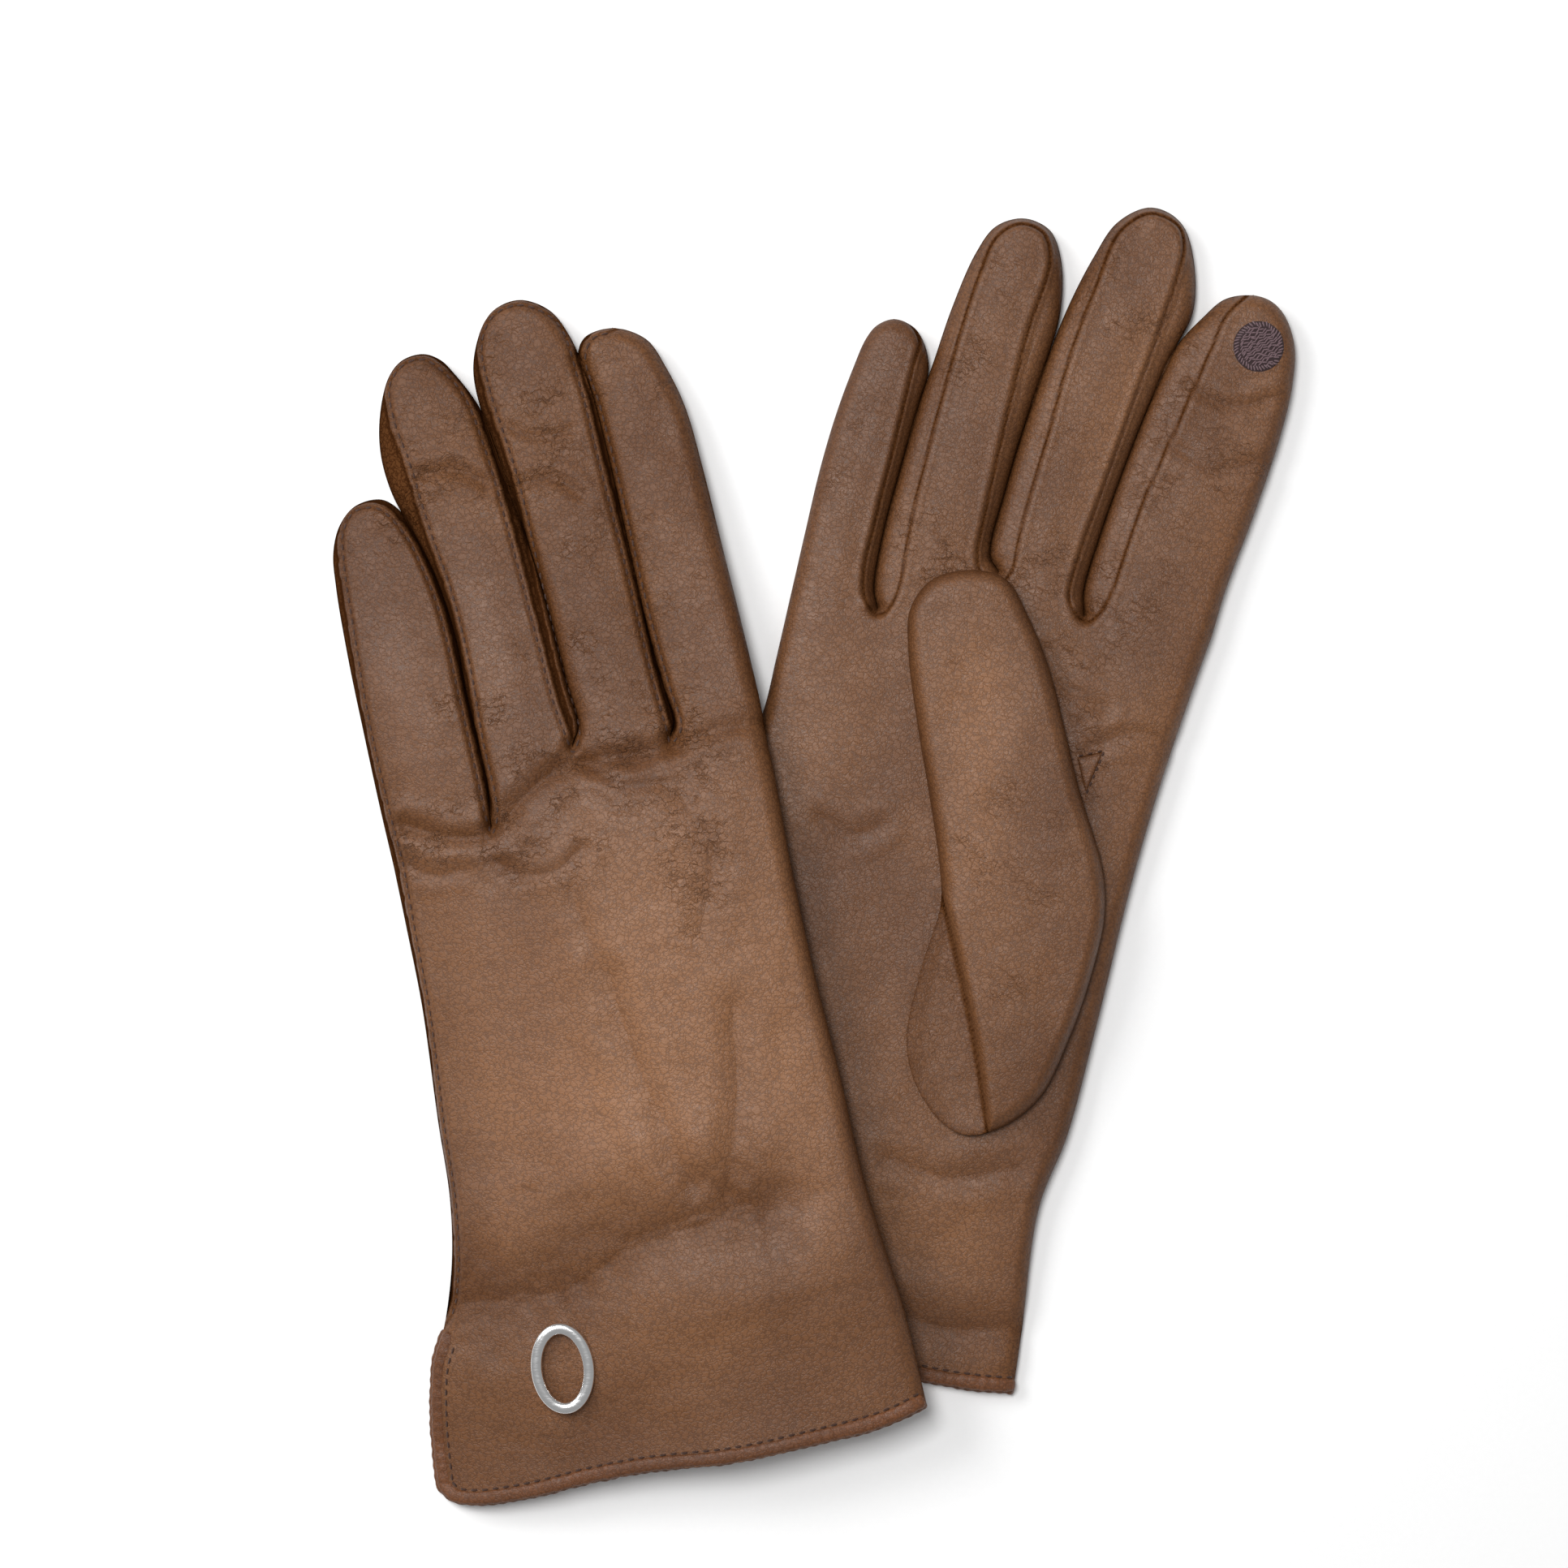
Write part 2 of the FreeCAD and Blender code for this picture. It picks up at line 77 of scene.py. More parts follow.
# Each finger has its left and its right outline, from the crotch to the tip. The hand has its two sides,
# from the cuff to the fingers, the cuff's edge, and the roots where the fingers start. seam is one line
# round every finger, with the slits on its left. lean is in degrees, thick and mouth are the fullness of
# the hand and of the cuff's mouth. bumps are (x, y, half sizes, turn, height); the next list is the same
# with how much lighter the leather is painted, as painted highlights where the light catches; and creases
# are (points, half width, depth), with painted shade in their valleys.
LEFT = {
    "lean": 11.0, "cuff_mid": (-24.3, -122.6), "back_up": True, "thick": 7.0, "mouth": 4.6,
    "side_l": [(-76.4, -129.8), (-77.6, -117.0), (-77.3, -104.5), (-75.3, -97.2), (-73.6, -83.9),
               (-73.9, -70.6), (-76.4, -54.0), (-79.6, -30.8), (-82.9, -14.2), (-85.4, -2.2)],
    "side_r": [(23.5, -111.4), (19.0, -92.4), (10.7, -65.3), (5.7, -43.7), (0.4, -22.5), (-3.9, -2.6),
               (-7.5, 16.9), (-8.9, 23.2)],
    "cuff": [(-76.4, -129.8), (-73.5, -132.3), (-68.6, -132.9), (-58.0, -131.2), (-44.2, -127.4),
             (-33.1, -125.0), (-15.3, -122.7), (-1.4, -119.6), (15.0, -115.3), (23.5, -111.4)],
    "roots": [(-85.4, -2.2), (-65.1, 6.1), (-48.5, 22.7), (-28.6, 24.5), (-8.9, 23.2)],
    "pinky": (
        [(-85.4, -2.2), (-88.2, 9.7), (-91.5, 24.8), (-95.0, 41.4), (-97.4, 55.1), (-98.0, 62.2),
         (-96.7, 67.8), (-93.5, 71.8), (-88.2, 73.1)],
        LEFT_GAPS[0] + [(-84.2, 70.7), (-88.2, 73.1)]),
    "ring": (
        LEFT_GAPS[0] + [(-86.0, 74.4), (-88.4, 82.9), (-88.4, 91.2), (-86.6, 98.4), (-83.9, 101.7),
                        (-79.6, 103.0)],
        LEFT_GAPS[1] + [(-63.4, 80.3), (-67.9, 91.8), (-73.4, 99.2), (-76.1, 101.8), (-79.6, 103.0)]),
    "middle": (
        LEFT_GAPS[1] + [(-67.0, 89.1), (-69.3, 100.4), (-67.2, 109.2), (-64.3, 112.6), (-59.5, 114.1)],
        LEFT_GAPS[2] + [(-49.7, 107.0), (-53.7, 112.0), (-59.5, 114.1)]),
    "index": (
        LEFT_GAPS[2] + [(-47.8, 102.5), (-46.4, 106.4), (-40.6, 108.3)],
        [(-8.9, 23.2), (-10.4, 31.6), (-14.5, 48.9), (-18.3, 64.0), (-22.5, 80.8), (-25.8, 92.1),
         (-29.6, 100.0), (-33.8, 106.0), (-40.6, 108.3)]),
    "seam": [(-78.0, -99.0), (-73.6, -94.5), (-71.9, -83.9), (-72.4, -70.6), (-74.8, -54.8), (-77.8, -30.8),
             (-80.9, -14.2), (-83.2, -1.2), (-85.6, 8.1), (-90.0, 27.3), (-93.0, 44.4), (-95.5, 60.5),
             (-95.6, 66.3), (-93.5, 70.3), (-88.6, 71.0), (-82.9, 65.5), (-79.4, 58.9), (-76.0, 50.4),
             (-71.4, 31.3), (-67.6, 14.7), (-65.9, 7.2), (-64.9, 4.4), (-63.6, 8.6), (-66.6, 23.3),
             (-69.3, 38.5), (-73.1, 53.6), (-77.6, 66.3), (-82.1, 80.8), (-85.2, 89.1), (-86.1, 96.4),
             (-83.4, 100.4), (-79.3, 101.5), (-74.9, 98.7), (-70.8, 93.7), (-66.3, 82.1), (-61.3, 64.8),
             (-55.7, 43.8), (-52.7, 32.3), (-49.9, 24.6), (-48.4, 21.2), (-47.0, 24.8), (-49.7, 34.8),
             (-55.0, 56.5), (-59.5, 76.1), (-65.8, 95.9), (-67.3, 103.7), (-66.3, 108.7), (-63.7, 111.5),
             (-59.2, 112.7), (-55.0, 111.3), (-51.4, 108.3), (-47.4, 96.6), (-42.9, 78.8), (-37.6, 58.0),
             (-32.3, 36.1), (-29.6, 26.6), (-28.5, 23.0), (-26.3, 26.0), (-28.8, 34.8), (-33.8, 53.1),
             (-38.9, 75.5), (-43.1, 92.1), (-46.1, 102.0), (-44.4, 105.9), (-40.4, 107.4),
             (-36.0, 111.0), (-25.0, 104.0)],
    "bumps": [(-58.0, -2.0, 17, 9, -20, 0.55), (-37.0, 8.0, 14, 9, 10, 0.6), (-17.0, 10.0, 12, 10, 10, 0.5),
              (-61.0, -2.5, 5, 6, 0, -0.9), (-46.0, 14.0, 5, 7, 0, -0.9), (-27.5, 16.0, 6, 6, 0, -1.0),
              (-36.0, -62.0, 22, 12, 10, 0.5), (-5.0, -92.0, 20, 14, 12, 0.5)],
    "lights": [(-34, -20, 24, 34, 8, 0.34), (-38, -52, 26, 18, 0, 0.22), (-2, -48, 8, 40, 10, 0.22),
               (-30, -104, 40, 14, 8, 0.12), (-62, -60, 8, 40, 6, 0.16), (-20, 50, 6, 22, 12, 0.10),
               (-83.5, 30, 4.5, 20, 12, 0.10), (-67, 46, 4.5, 18, 14, 0.10)],
    "creases": [([(-83.0, 6.4), (-74.6, 4.0), (-66.3, 3.8)], 1.8, 0.8),
                ([(-63.4, 5.1), (-58.0, 12.2), (-49.7, 18.4), (-39.7, 19.9), (-28.1, 22.3)], 2.2, 0.9),
                ([(-46.0, 19.0), (-38.0, 14.5), (-30.0, 15.0)], 1.2, 0.35),
                ([(-28.1, 22.0), (-18.2, 25.8), (-9.6, 27.0)], 1.6, 0.5),
                ([(-66.0, 1.0), (-60.0, -3.5), (-52.0, -3.0), (-46.0, 2.0)], 1.4, 0.35),
                ([(-83.0, -1.0), (-77.0, -4.0), (-71.0, -3.0)], 1.4, 0.3),
                ([(-78.0, -92.0), (-50.0, -88.0), (-33.0, -77.0), (-10.0, -70.5)], 8.0, 1.2),
                ([(-41.4, -24.1), (-34.0, -45.0), (-24.8, -66.0)], 3.0, 0.5),
                ([(-15.7, -30.0), (-15.0, -50.0), (-17.0, -68.0)], 3.0, 0.45),
                ([(-46.0, 2.0), (-48.0, -8.0), (-44.0, -20.0)], 2.0, 0.3),
                ([(-26.0, 12.0), (-20.0, 0.0), (-22.0, -14.0)], 2.4, 0.3),
                ([(-79.2, 77.9), (-72.9, 78.8), (-66.3, 76.0)], 1.6, 0.5),
                ([(-61.6, 87.4), (-55.5, 85.4), (-48.8, 87.1)], 1.2, 0.3),
                ([(-59.6, 75.5), (-53.0, 77.1), (-46.7, 73.5)], 1.3, 0.35)],
}
RIGHT = {
    "lean": -17.0, "cuff_mid": (-6.3, -95.6), "back_up": False, "thick": 7.0, "mouth": 4.4,
    "side_l": [(-51.5, -80.0), (-47.5, -68.0), (-39.4, -47.4), (-24.8, -9.2), (-13.9, 20.7), (-9.9, 29.3),
               (-6.9, 41.4)],
    "side_r": [(41.6, -110.3), (43.4, -97.7), (46.9, -72.3), (52.7, -57.5), (58.9, -34.1), (65.7, -6.5),
               (71.8, 14.5), (79.8, 38.0), (82.3, 44.8)],
    "cuff": [(-51.5, -80.0), (-39.7, -87.0), (-19.8, -95.8), (3.4, -103.0), (24.2, -108.0), (32.6, -109.4),
             (41.6, -110.3)],
    "roots": [(-6.9, 41.4), (13.7, 50.9), (38.6, 58.4), (56.2, 49.4), (82.3, 44.8)],
    "pinky": (
        [(-6.9, 41.4), (-4.2, 53.2), (-1.2, 66.3), (1.8, 79.1), (5.1, 90.4), (8.7, 100.2), (11.4, 106.3),
         (13.7, 109.0), (17.2, 110.2)],
        RIGHT_GAPS[0] + [(24.2, 99.5), (23.5, 104.7), (21.2, 108.5), (17.2, 110.2)]),
    "ring": (
        RIGHT_GAPS[0] + [(25.4, 102.0), (29.1, 112.8), (33.8, 123.6), (37.8, 129.1), (42.6, 130.9)],
        RIGHT_GAPS[1] + [(51.2, 111.2), (51.6, 121.1), (49.6, 127.9), (46.3, 130.3), (42.6, 130.9)]),
    "middle": (
        RIGHT_GAPS[1] + [(52.9, 112.8), (58.2, 123.1), (62.8, 129.9), (69.0, 133.1)],
        RIGHT_GAPS[2] + [(78.4, 111.2), (78.9, 120.3), (76.8, 128.9), (73.3, 132.2), (69.0, 133.1)]),
    "index": (
        RIGHT_GAPS[2] + [(80.4, 110.4), (85.1, 114.3), (90.6, 115.1)],
        [(82.3, 44.8), (85.3, 54.7), (91.7, 71.8), (96.9, 87.6), (99.0, 97.0), (99.4, 104.5), (97.4, 110.8),
         (94.5, 113.9), (90.6, 115.1)]),
    "seam": [(10.0, 112.5), (18.0, 111.5), (21.4, 107.8), (22.3, 105.0), (21.2, 100.9), (17.2, 84.4),
             (12.9, 67.3), (10.9, 58.0), (11.3, 52.2), (13.7, 49.3), (16.1, 50.7), (17.9, 54.6),
             (20.5, 68.7), (24.5, 85.1), (30.5, 106.8), (34.5, 119.0), (38.2, 126.8), (43.0, 129.4),
             (47.6, 127.5), (49.0, 122.3), (48.3, 118.3), (44.6, 107.8), (40.3, 90.4), (35.8, 70.5),
             (34.1, 61.0), (35.3, 57.2), (38.4, 55.8), (40.9, 57.9), (42.9, 66.7), (48.6, 86.4),
             (53.2, 102.9), (58.5, 117.0), (63.2, 127.6), (69.5, 131.5), (75.4, 128.9), (76.4, 124.9),
             (75.5, 120.1), (71.8, 108.7), (66.5, 93.9), (60.8, 77.8), (54.9, 61.2), (52.9, 53.0),
             (54.2, 49.5), (56.5, 47.8), (58.9, 49.4), (61.2, 53.2), (67.3, 70.7), (76.0, 90.4),
             (81.8, 103.4), (85.1, 110.7), (88.9, 114.3), (93.0, 118.0), (106.0, 110.0)],
    "bumps": [(11.6, 51.6, 1.4, 1.5, 0, 0.9), (15.4, 52.2, 1.4, 1.5, 0, 0.9),
              (36.6, 58.2, 1.4, 1.5, 0, 0.9), (39.9, 58.2, 1.4, 1.5, 0, 0.9),
              (54.6, 51.0, 1.4, 1.5, 0, 0.9), (57.6, 50.8, 1.4, 1.5, 0, 0.9),
              (66.0, 30.0, 10, 12, 0, 0.4), (8.0, 30.0, 10, 16, 0, 0.4)],
    "lights": [(10, 30, 16, 20, -17, 0.05), (64, 88, 6, 30, -20, 0.20), (88, 80, 6, 20, -15, 0.12),
               (26, -80, 18, 14, 0, 0.18), (70, 25, 8, 12, 0, 0.10)],
    "creases": [([(57.5, 22.0), (66.0, 25.0), (74.0, 23.0)], 1.6, 0.3),
                ([(2.0, 8.0), (8.0, 4.0), (14.0, 6.0)], 1.8, 0.3),
                ([(48.0, 42.0), (53.0, 34.0), (60.0, 30.0)], 1.6, 0.35),
                ([(16.0, -62.0), (28.0, -66.0), (42.0, -64.0)], 2.2, 0.35),
                ([(14.0, -93.0), (28.0, -97.0), (42.0, -97.0)], 3.5, 0.5),
                ([(78.0, 96.0), (86.0, 92.0), (96.0, 94.0)], 1.4, 0.35),
                ([(74.0, 84.0), (84.0, 79.0), (93.0, 81.0)], 1.6, 0.3)],
}
GLOVES = {"left": LEFT, "right": RIGHT}

# The right thumb lies on the palm. Its fold is where the upper layer ends over the lower one.
THUMB_R = (
    [(31.5, -56.9), (26.5, -54.2), (21.2, -46.2), (19.5, -37.2), (22.8, -22.0), (26.5, -9.9), (26.3, -2.6),
     (24.2, 12.1), (21.5, 28.2), (19.8, 42.8), (20.3, 50.6), (24.8, 56.5), (33.3, 58.4)],
    [(31.5, -56.9), (38.6, -55.5), (46.6, -49.4), (52.7, -37.2), (57.2, -24.3), (59.9, -12.2), (59.5, -2.6),
     (54.7, 13.7), (51.6, 26.7), (48.7, 38.0), (44.6, 48.4), (39.9, 56.4), (33.3, 58.4)])
THUMB_R_FOLD = [(26.0, -3.0), (26.9, -8.7), (29.6, -20.3), (33.0, -36.4), (35.3, -51.0), (36.2, -58.0)]
# The left thumb lies under its own palm, from the sewn base towards the ring finger.
THUMB_L = (
    [(-6.6, -70.0), (-17.0, -66.5), (-27.3, -56.0), (-31.5, -47.0), (-33.7, -35.0), (-38.0, -24.0),
     (-47.0, -8.0), (-57.0, 8.0), (-64.0, 20.0), (-66.5, 27.0), (-62.5, 32.0), (-56.5, 32.3)],
    [(-6.6, -70.0), (-0.8, -61.0), (0.0, -48.0), (-3.0, -30.0), (-9.0, -12.0), (-20.0, 2.0), (-31.0, 14.0),
     (-42.0, 26.0), (-49.0, 31.5), (-56.5, 32.3)])
GUSSET = [(54.2, 20.3), (60.0, 21.6), (56.2, 12.4)]
PATCH = (91.6, 104.2)
PATCH_RADIUS = 5.2
ORNAMENT = (-50.4, -103.8)
# The oval ring: half its size along and across, and half the width and height of its tube.
RING_HALF_X, RING_HALF_Y = 5.3, 8.1
RING_TUBE_X, RING_TUBE_Z = 1.15, 0.75


# ---------------------------------------------------------------- numbers and lines

def smooth(low, high, x):
    """0 below low, 1 above high, and a smooth step between them."""
    t = np.clip((np.asarray(x, float) - low) / (high - low), 0, 1)
    return t * t * (3 - 2 * t)


LATTICE = 64


def lattice(seed):
    """A table of random numbers from -1 to 1."""
    return np.random.default_rng(seed).random((LATTICE, LATTICE)) * 2 - 1


def noise(x, y, seed):
    """Smooth random hills, about one unit across, from -1 to 1."""
    table = lattice(seed)
    ix, iy = np.floor(x).astype(int), np.floor(y).astype(int)
    fx, fy = smooth(0, 1, x - ix), smooth(0, 1, y - iy)
    x0, x1, y0, y1 = (i % LATTICE for i in (ix, ix + 1, iy, iy + 1))
    a, b, c, d = table[x0, y0], table[x1, y0], table[x0, y1], table[x1, y1]
    return (a * (1 - fx) + b * fx) * (1 - fy) + (c * (1 - fx) + d * fx) * fy


def hills(x, y, seed, octaves=3):
    """Hills with smaller hills on them."""
    return sum(noise(x * 2 ** k, y * 2 ** k, seed + k) / 2 ** k for k in range(octaves)) / 1.6


def travel(line):
    """Length along a line of points, at each point."""
    return np.concatenate([[0], np.cumsum(np.linalg.norm(np.diff(line, axis=0), axis=1))])


def evenly(line, count):
    """count points evenly spaced along a line of points."""
    step = travel(line)
    at = np.linspace(0, step[-1], count)
    return np.stack([np.interp(at, step, line[:, k]) for k in range(line.shape[1])], 1)


def along(line, shares):
    """Points at shares, 0 to 1, of a line's length."""
    step = travel(line)
    at = np.asarray(shares) * step[-1]
    return np.stack([np.interp(at, step, line[:, k]) for k in range(line.shape[1])], 1)


def curve(points, spacing=0.3):
    """A smooth line through points: a centripetal Catmull-Rom spline, evenly resampled."""
    p = np.array(points, float)
    ends = np.vstack([2 * p[0] - p[1], p, 2 * p[-1] - p[-2]])
    out = []
    for a, b, c, d in zip(ends, ends[1:], ends[2:], ends[3:]):
        k1 = max(np.linalg.norm(b - a), 1e-6) ** 0.5
        k2 = k1 + max(np.linalg.norm(c - b), 1e-6) ** 0.5
        k3 = k2 + max(np.linalg.norm(d - c), 1e-6) ** 0.5
        t = np.linspace(k1, k2, 24, endpoint=False)[:, None]
        ab, bc, cd = (k1 - t) / k1 * a + t / k1 * b, (k2 - t) / (k2 - k1) * b + (t - k1) / (k2 - k1) * c, \
            (k3 - t) / (k3 - k2) * c + (t - k2) / (k3 - k2) * d
        abc = (k2 - t) / k2 * ab + t / k2 * bc
        bcd = (k3 - t) / (k3 - k1) * bc + (t - k1) / (k3 - k1) * cd
        out.append((k2 - t) / (k2 - k1) * abc + (t - k1) / (k2 - k1) * bcd)
    line = np.vstack(out + [p[-1:]])
    length = np.linalg.norm(np.diff(line, axis=0), axis=1).sum()
    return evenly(line, max(8, int(length / spacing)))


class Lines:
    """Plan lines that give the nearest point on them: distance, side (left positive) and length so far."""

    def __init__(self, lines):
        self.v = np.vstack(lines)
        self.arc = np.concatenate([travel(a) for a in lines])
        sizes = [len(a) for a in lines]
        self.last = np.zeros(len(self.v), bool)
        self.last[np.cumsum(sizes) - 1] = True
        self.first = np.roll(self.last, 1)
        self.tree = KDTree(len(self.v))
        for i, (x, y) in enumerate(self.v):
            self.tree.insert((x, y, 0.0), i)
        self.tree.balance()

    def near(self, points):
        find = self.tree.find
        index = np.array([find((x, y, 0.0))[1] for x, y in points])
        best = np.full(len(points), 1e9)
        side, arc = np.zeros(len(points)), np.zeros(len(points))
        for shift, missing in ((0, self.last), (-1, self.first)):
            i = np.clip(index + shift, 0, len(self.v) - 2)
            a, b = self.v[i], self.v[i + 1]
            ab, ap = b - a, points - a
            size = np.maximum((ab ** 2).sum(1), 1e-12)
            t = np.clip((ab * ap).sum(1) / size, 0, 1)
            gap = np.linalg.norm(ap - ab * t[:, None], axis=1)
            use = (gap < best) & ~missing[index]
            best = np.where(use, gap, best)
            side = np.where(use, np.sign(ab[:, 0] * ap[:, 1] - ab[:, 1] * ap[:, 0]), side)
            arc = np.where(use, self.arc[i] + t * np.sqrt(size), arc)
        return best, side, arc


# ---------------------------------------------------------------- the gloves' surfaces

def plan(glove, xy):
    """Glove coordinates: u across towards the index finger, v from the cuff to the fingers."""
    a = math.radians(glove["lean"])
    dx, dy = xy[:, 0] - glove["cuff_mid"][0], xy[:, 1] - glove["cuff_mid"][1]
    return dx * math.cos(a) + dy * math.sin(a), dy * math.cos(a) - dx * math.sin(a)


def spot(xy, x, y, half_x, half_y, turn):
    """A soft oval spot: 1 at its middle, falling off over its half sizes."""
    a = math.radians(turn)
    dx, dy = xy[:, 0] - x, xy[:, 1] - y
    p, q = dx * math.cos(a) + dy * math.sin(a), dy * math.cos(a) - dx * math.sin(a)
    return np.exp(-(p / half_x) ** 2 - (q / half_y) ** 2)


def softest(values, k, sign=1):
    """A rounded minimum of several heights, or with sign -1 a rounded maximum."""
    return -sign * k * np.log(sum(np.exp(-sign * v / k) for v in values))


def underside(glove, xy):
    """Height of what a glove lies on: the floor, or for the left glove the right one under it."""
    u, v = plan(glove, xy)
    if not glove["back_up"]:
        return np.zeros(len(xy))
    reach = 232 - 27 * smooth(15, 30, -u)
    tips = softest([30.92 - 0.16 * v, 0.25 + np.maximum(0, reach - v) * 0.075], 0.5, -1)
    roof = softest([10.41 + 0.1995 * u, 11.4 + 0 * u, tips], 0.9)
    return np.maximum(roof + 0.25, 0.12)


def prepare(glove):
    """The smooth lines of a glove and the nearest-point finders for its outlines, seams and creases."""
    glove["line"] = {k: curve(glove[k]) for k in ("side_l", "side_r", "cuff", "seam")}
    for name in FINGERS:
        left, right = glove[name]
        whole = curve(left + right[-2::-1])
        top = int(np.linalg.norm(whole - left[-1], axis=1).argmin())
        glove["line"][name] = whole[:top + 1], whole[top:][::-1]
    sides = [a for name in FINGERS for a in glove["line"][name]]
    glove["outline"] = Lines(sides + [glove["line"]["side_l"], glove["line"]["side_r"]])
    glove["seams"] = Lines([glove["line"]["seam"]])
    glove["folds"] = [(Lines([curve(p, 1.0)]), w, h) for p, w, h in glove["creases"]]


# How far in from the outline the leather rounds over, above and below, and how a glove's fullness is
# shared between the layers under and over its outline.
ROUND_TOP, ROUND_LOW = 3.4, 2.2
UNDER, OVER = 0.42, 0.58
VENT_EDGE = 0.72


def relief(glove, xy, detail=True):
    """Top and bottom heights, painted shade and painted highlights with a little random dye tone, and
    wrinkling of a glove's leather at plan points.
    """
    d, _, _ = glove["outline"].near(xy)
    u, v = plan(glove, xy)
    base = underside(glove, xy)
    at_cuff = 1 - smooth(2, 40, v)
    thick = glove["thick"] + (glove["mouth"] - glove["thick"]) * at_cuff
    vent = (1 - smooth(33, 38, v)) * (1 - smooth(-36, -24, u))
    round_top = np.sqrt(np.clip(1 - (1 - np.clip(d / ROUND_TOP, 0, 1)) ** 2, 0, 1))
    round_low = np.sqrt(np.clip(1 - (1 - np.clip(d / ROUND_LOW, 0, 1)) ** 2, 0, 1))
    round_top = np.maximum(round_top, VENT_EDGE * vent)
    round_low = np.maximum(round_low, VENT_EDGE * vent)
    middle = base + UNDER * thick
    crown = 0.85 * (1 - np.exp(-d / 5.5)) - 0.75
    top = middle + OVER * thick * round_top + crown * round_top
    low = middle - UNDER * thick * round_low
    dye_and_painted_light, wrinkle = np.zeros(len(xy)), np.full(len(xy), 0.25)
    if not detail:
        return top, low, dye_and_painted_light, wrinkle
    for *oval, high in glove["bumps"]:
        top = top + high * spot(xy, *oval)
    for lines, wide, deep in glove["folds"]:
        gap, _, _ = lines.near(xy)
        wander = gap + 0.35 * wide * hills(u / 7, v / 7, 40)
        valley = 0.6 * np.exp(-(wander / wide) ** 2) + 0.4 * np.exp(-np.abs(wander) / (0.35 * wide))
        top = top - 1.5 * deep * valley + 0.5 * deep * np.exp(-((np.abs(wander) - 2.1 * wide) / wide) ** 2)
        # Painted shade in each fold's valley.
        dye_and_painted_light = dye_and_painted_light + 0.16 * deep * valley
        if wide < 3:
            wrinkle = wrinkle + 0.9 * deep * np.exp(-(gap / (2.5 * wide + 2)) ** 2)
    # Painted highlights: the leather is painted lighter in broad ovals where the light catches it.
    for *oval, highlight_lift in glove["lights"]:
        dye_and_painted_light = dye_and_painted_light - highlight_lift * spot(xy, *oval)
    gap, side, arc = glove["seams"].near(xy)
    out = gap * side
    in_finger = smooth(118, 150, v)
    if glove["back_up"]:
        ragged = out + 0.16 * noise(arc / 1.1, arc * 0, 92)
        step = smooth(0.95, 1.45, ragged)
        top = top - 0.8 * step
        pucker = np.cos(arc * (2 * math.pi / STITCH_PITCH))
        top = top + (0.24 + 0.05 * pucker) * np.exp(-((out - 0.62) / 0.34) ** 2)
        top = top - (0.26 - 0.06 * pucker) * np.exp(-(out / 0.34) ** 2)
        top = top + 0.10 * np.exp(-((out + 0.9) / 0.6) ** 2)
        # Painted shade on the sunk side beyond the seam's step and along its groove, and a painted shade line
        # under the step's edge; the fingers are also a little darker.
        dye_and_painted_light = dye_and_painted_light + 0.24 * step + 0.10 * np.exp(-(out / 0.42) ** 2)
        dye_and_painted_light = dye_and_painted_light + 0.4 * np.exp(-((ragged - 1.4) / 0.3) ** 2)
        dye_and_painted_light = dye_and_painted_light + 0.09 * in_finger
    else:
        strip = smooth(0.1, 1.3, out)
        top = top - 0.75 * strip - 0.6 * np.exp(-(out / 0.42) ** 2)
        top = top + 0.14 * np.exp(-((out + 1.1) / 0.7) ** 2)
        # Painted shade along the sunk seam line.
        dye_and_painted_light = dye_and_painted_light + 0.02 * strip + 0.42 * np.exp(-(out / 0.36) ** 2)
    wrinkle = wrinkle + 0.36 * in_finger * (0.4 + 0.6 * smooth(-0.2, 0.5, hills(u / 14, v / 11, 61)))
    wrinkle = wrinkle + 0.35 * smooth(0.1, 0.6, hills(u / 22, v / 18, 67))
    soft = hills(u / 17, v / 23, 11) * 0.38 + hills(u / 7.5, v / 6.0, 17) * 0.10
    across = noise(u / 5.5 + 0.6 * hills(u / 9, v / 9, 21), v / 1.9 + 1.2 * hills(u / 8, v / 8, 23), 25)
    top = top + round_top * (soft + 0.10 * wrinkle * across)
    low = low + 0.15 * round_low * (1 + hills(u / 11, v / 11, 31)) * (1 if glove["back_up"] else 0)
    # A little random dye tone, and painted shade where the leather rounds over at its outline.
    dye_and_painted_light = dye_and_painted_light + 0.05 * hills(u / 26, v / 32, 51) + 0.30 * np.exp(-d / 0.9) * (1 - vent)
    return top, low, dye_and_painted_light, np.clip(wrinkle, 0, 1.6)


# ---------------------------------------------------------------- meshes

def tidy(verts, faces):
    """Joins points in the same place, and drops the faces that this closes up."""
    key = np.round(verts * 2000).astype(np.int64)
    _, first, back = np.unique(key, axis=0, return_index=True, return_inverse=True)
    back = back.reshape(-1)
    kept = []
    for f in faces:
        ring = []
        for i in back[np.asarray(f)]:
            if not ring or ring[-1] != i:
                ring.append(int(i))
        if len(ring) > 1 and ring[0] == ring[-1]:
            ring.pop()
        if len(ring) > 2 and len(set(ring)) == len(ring):
            kept.append(ring)
    return first, kept


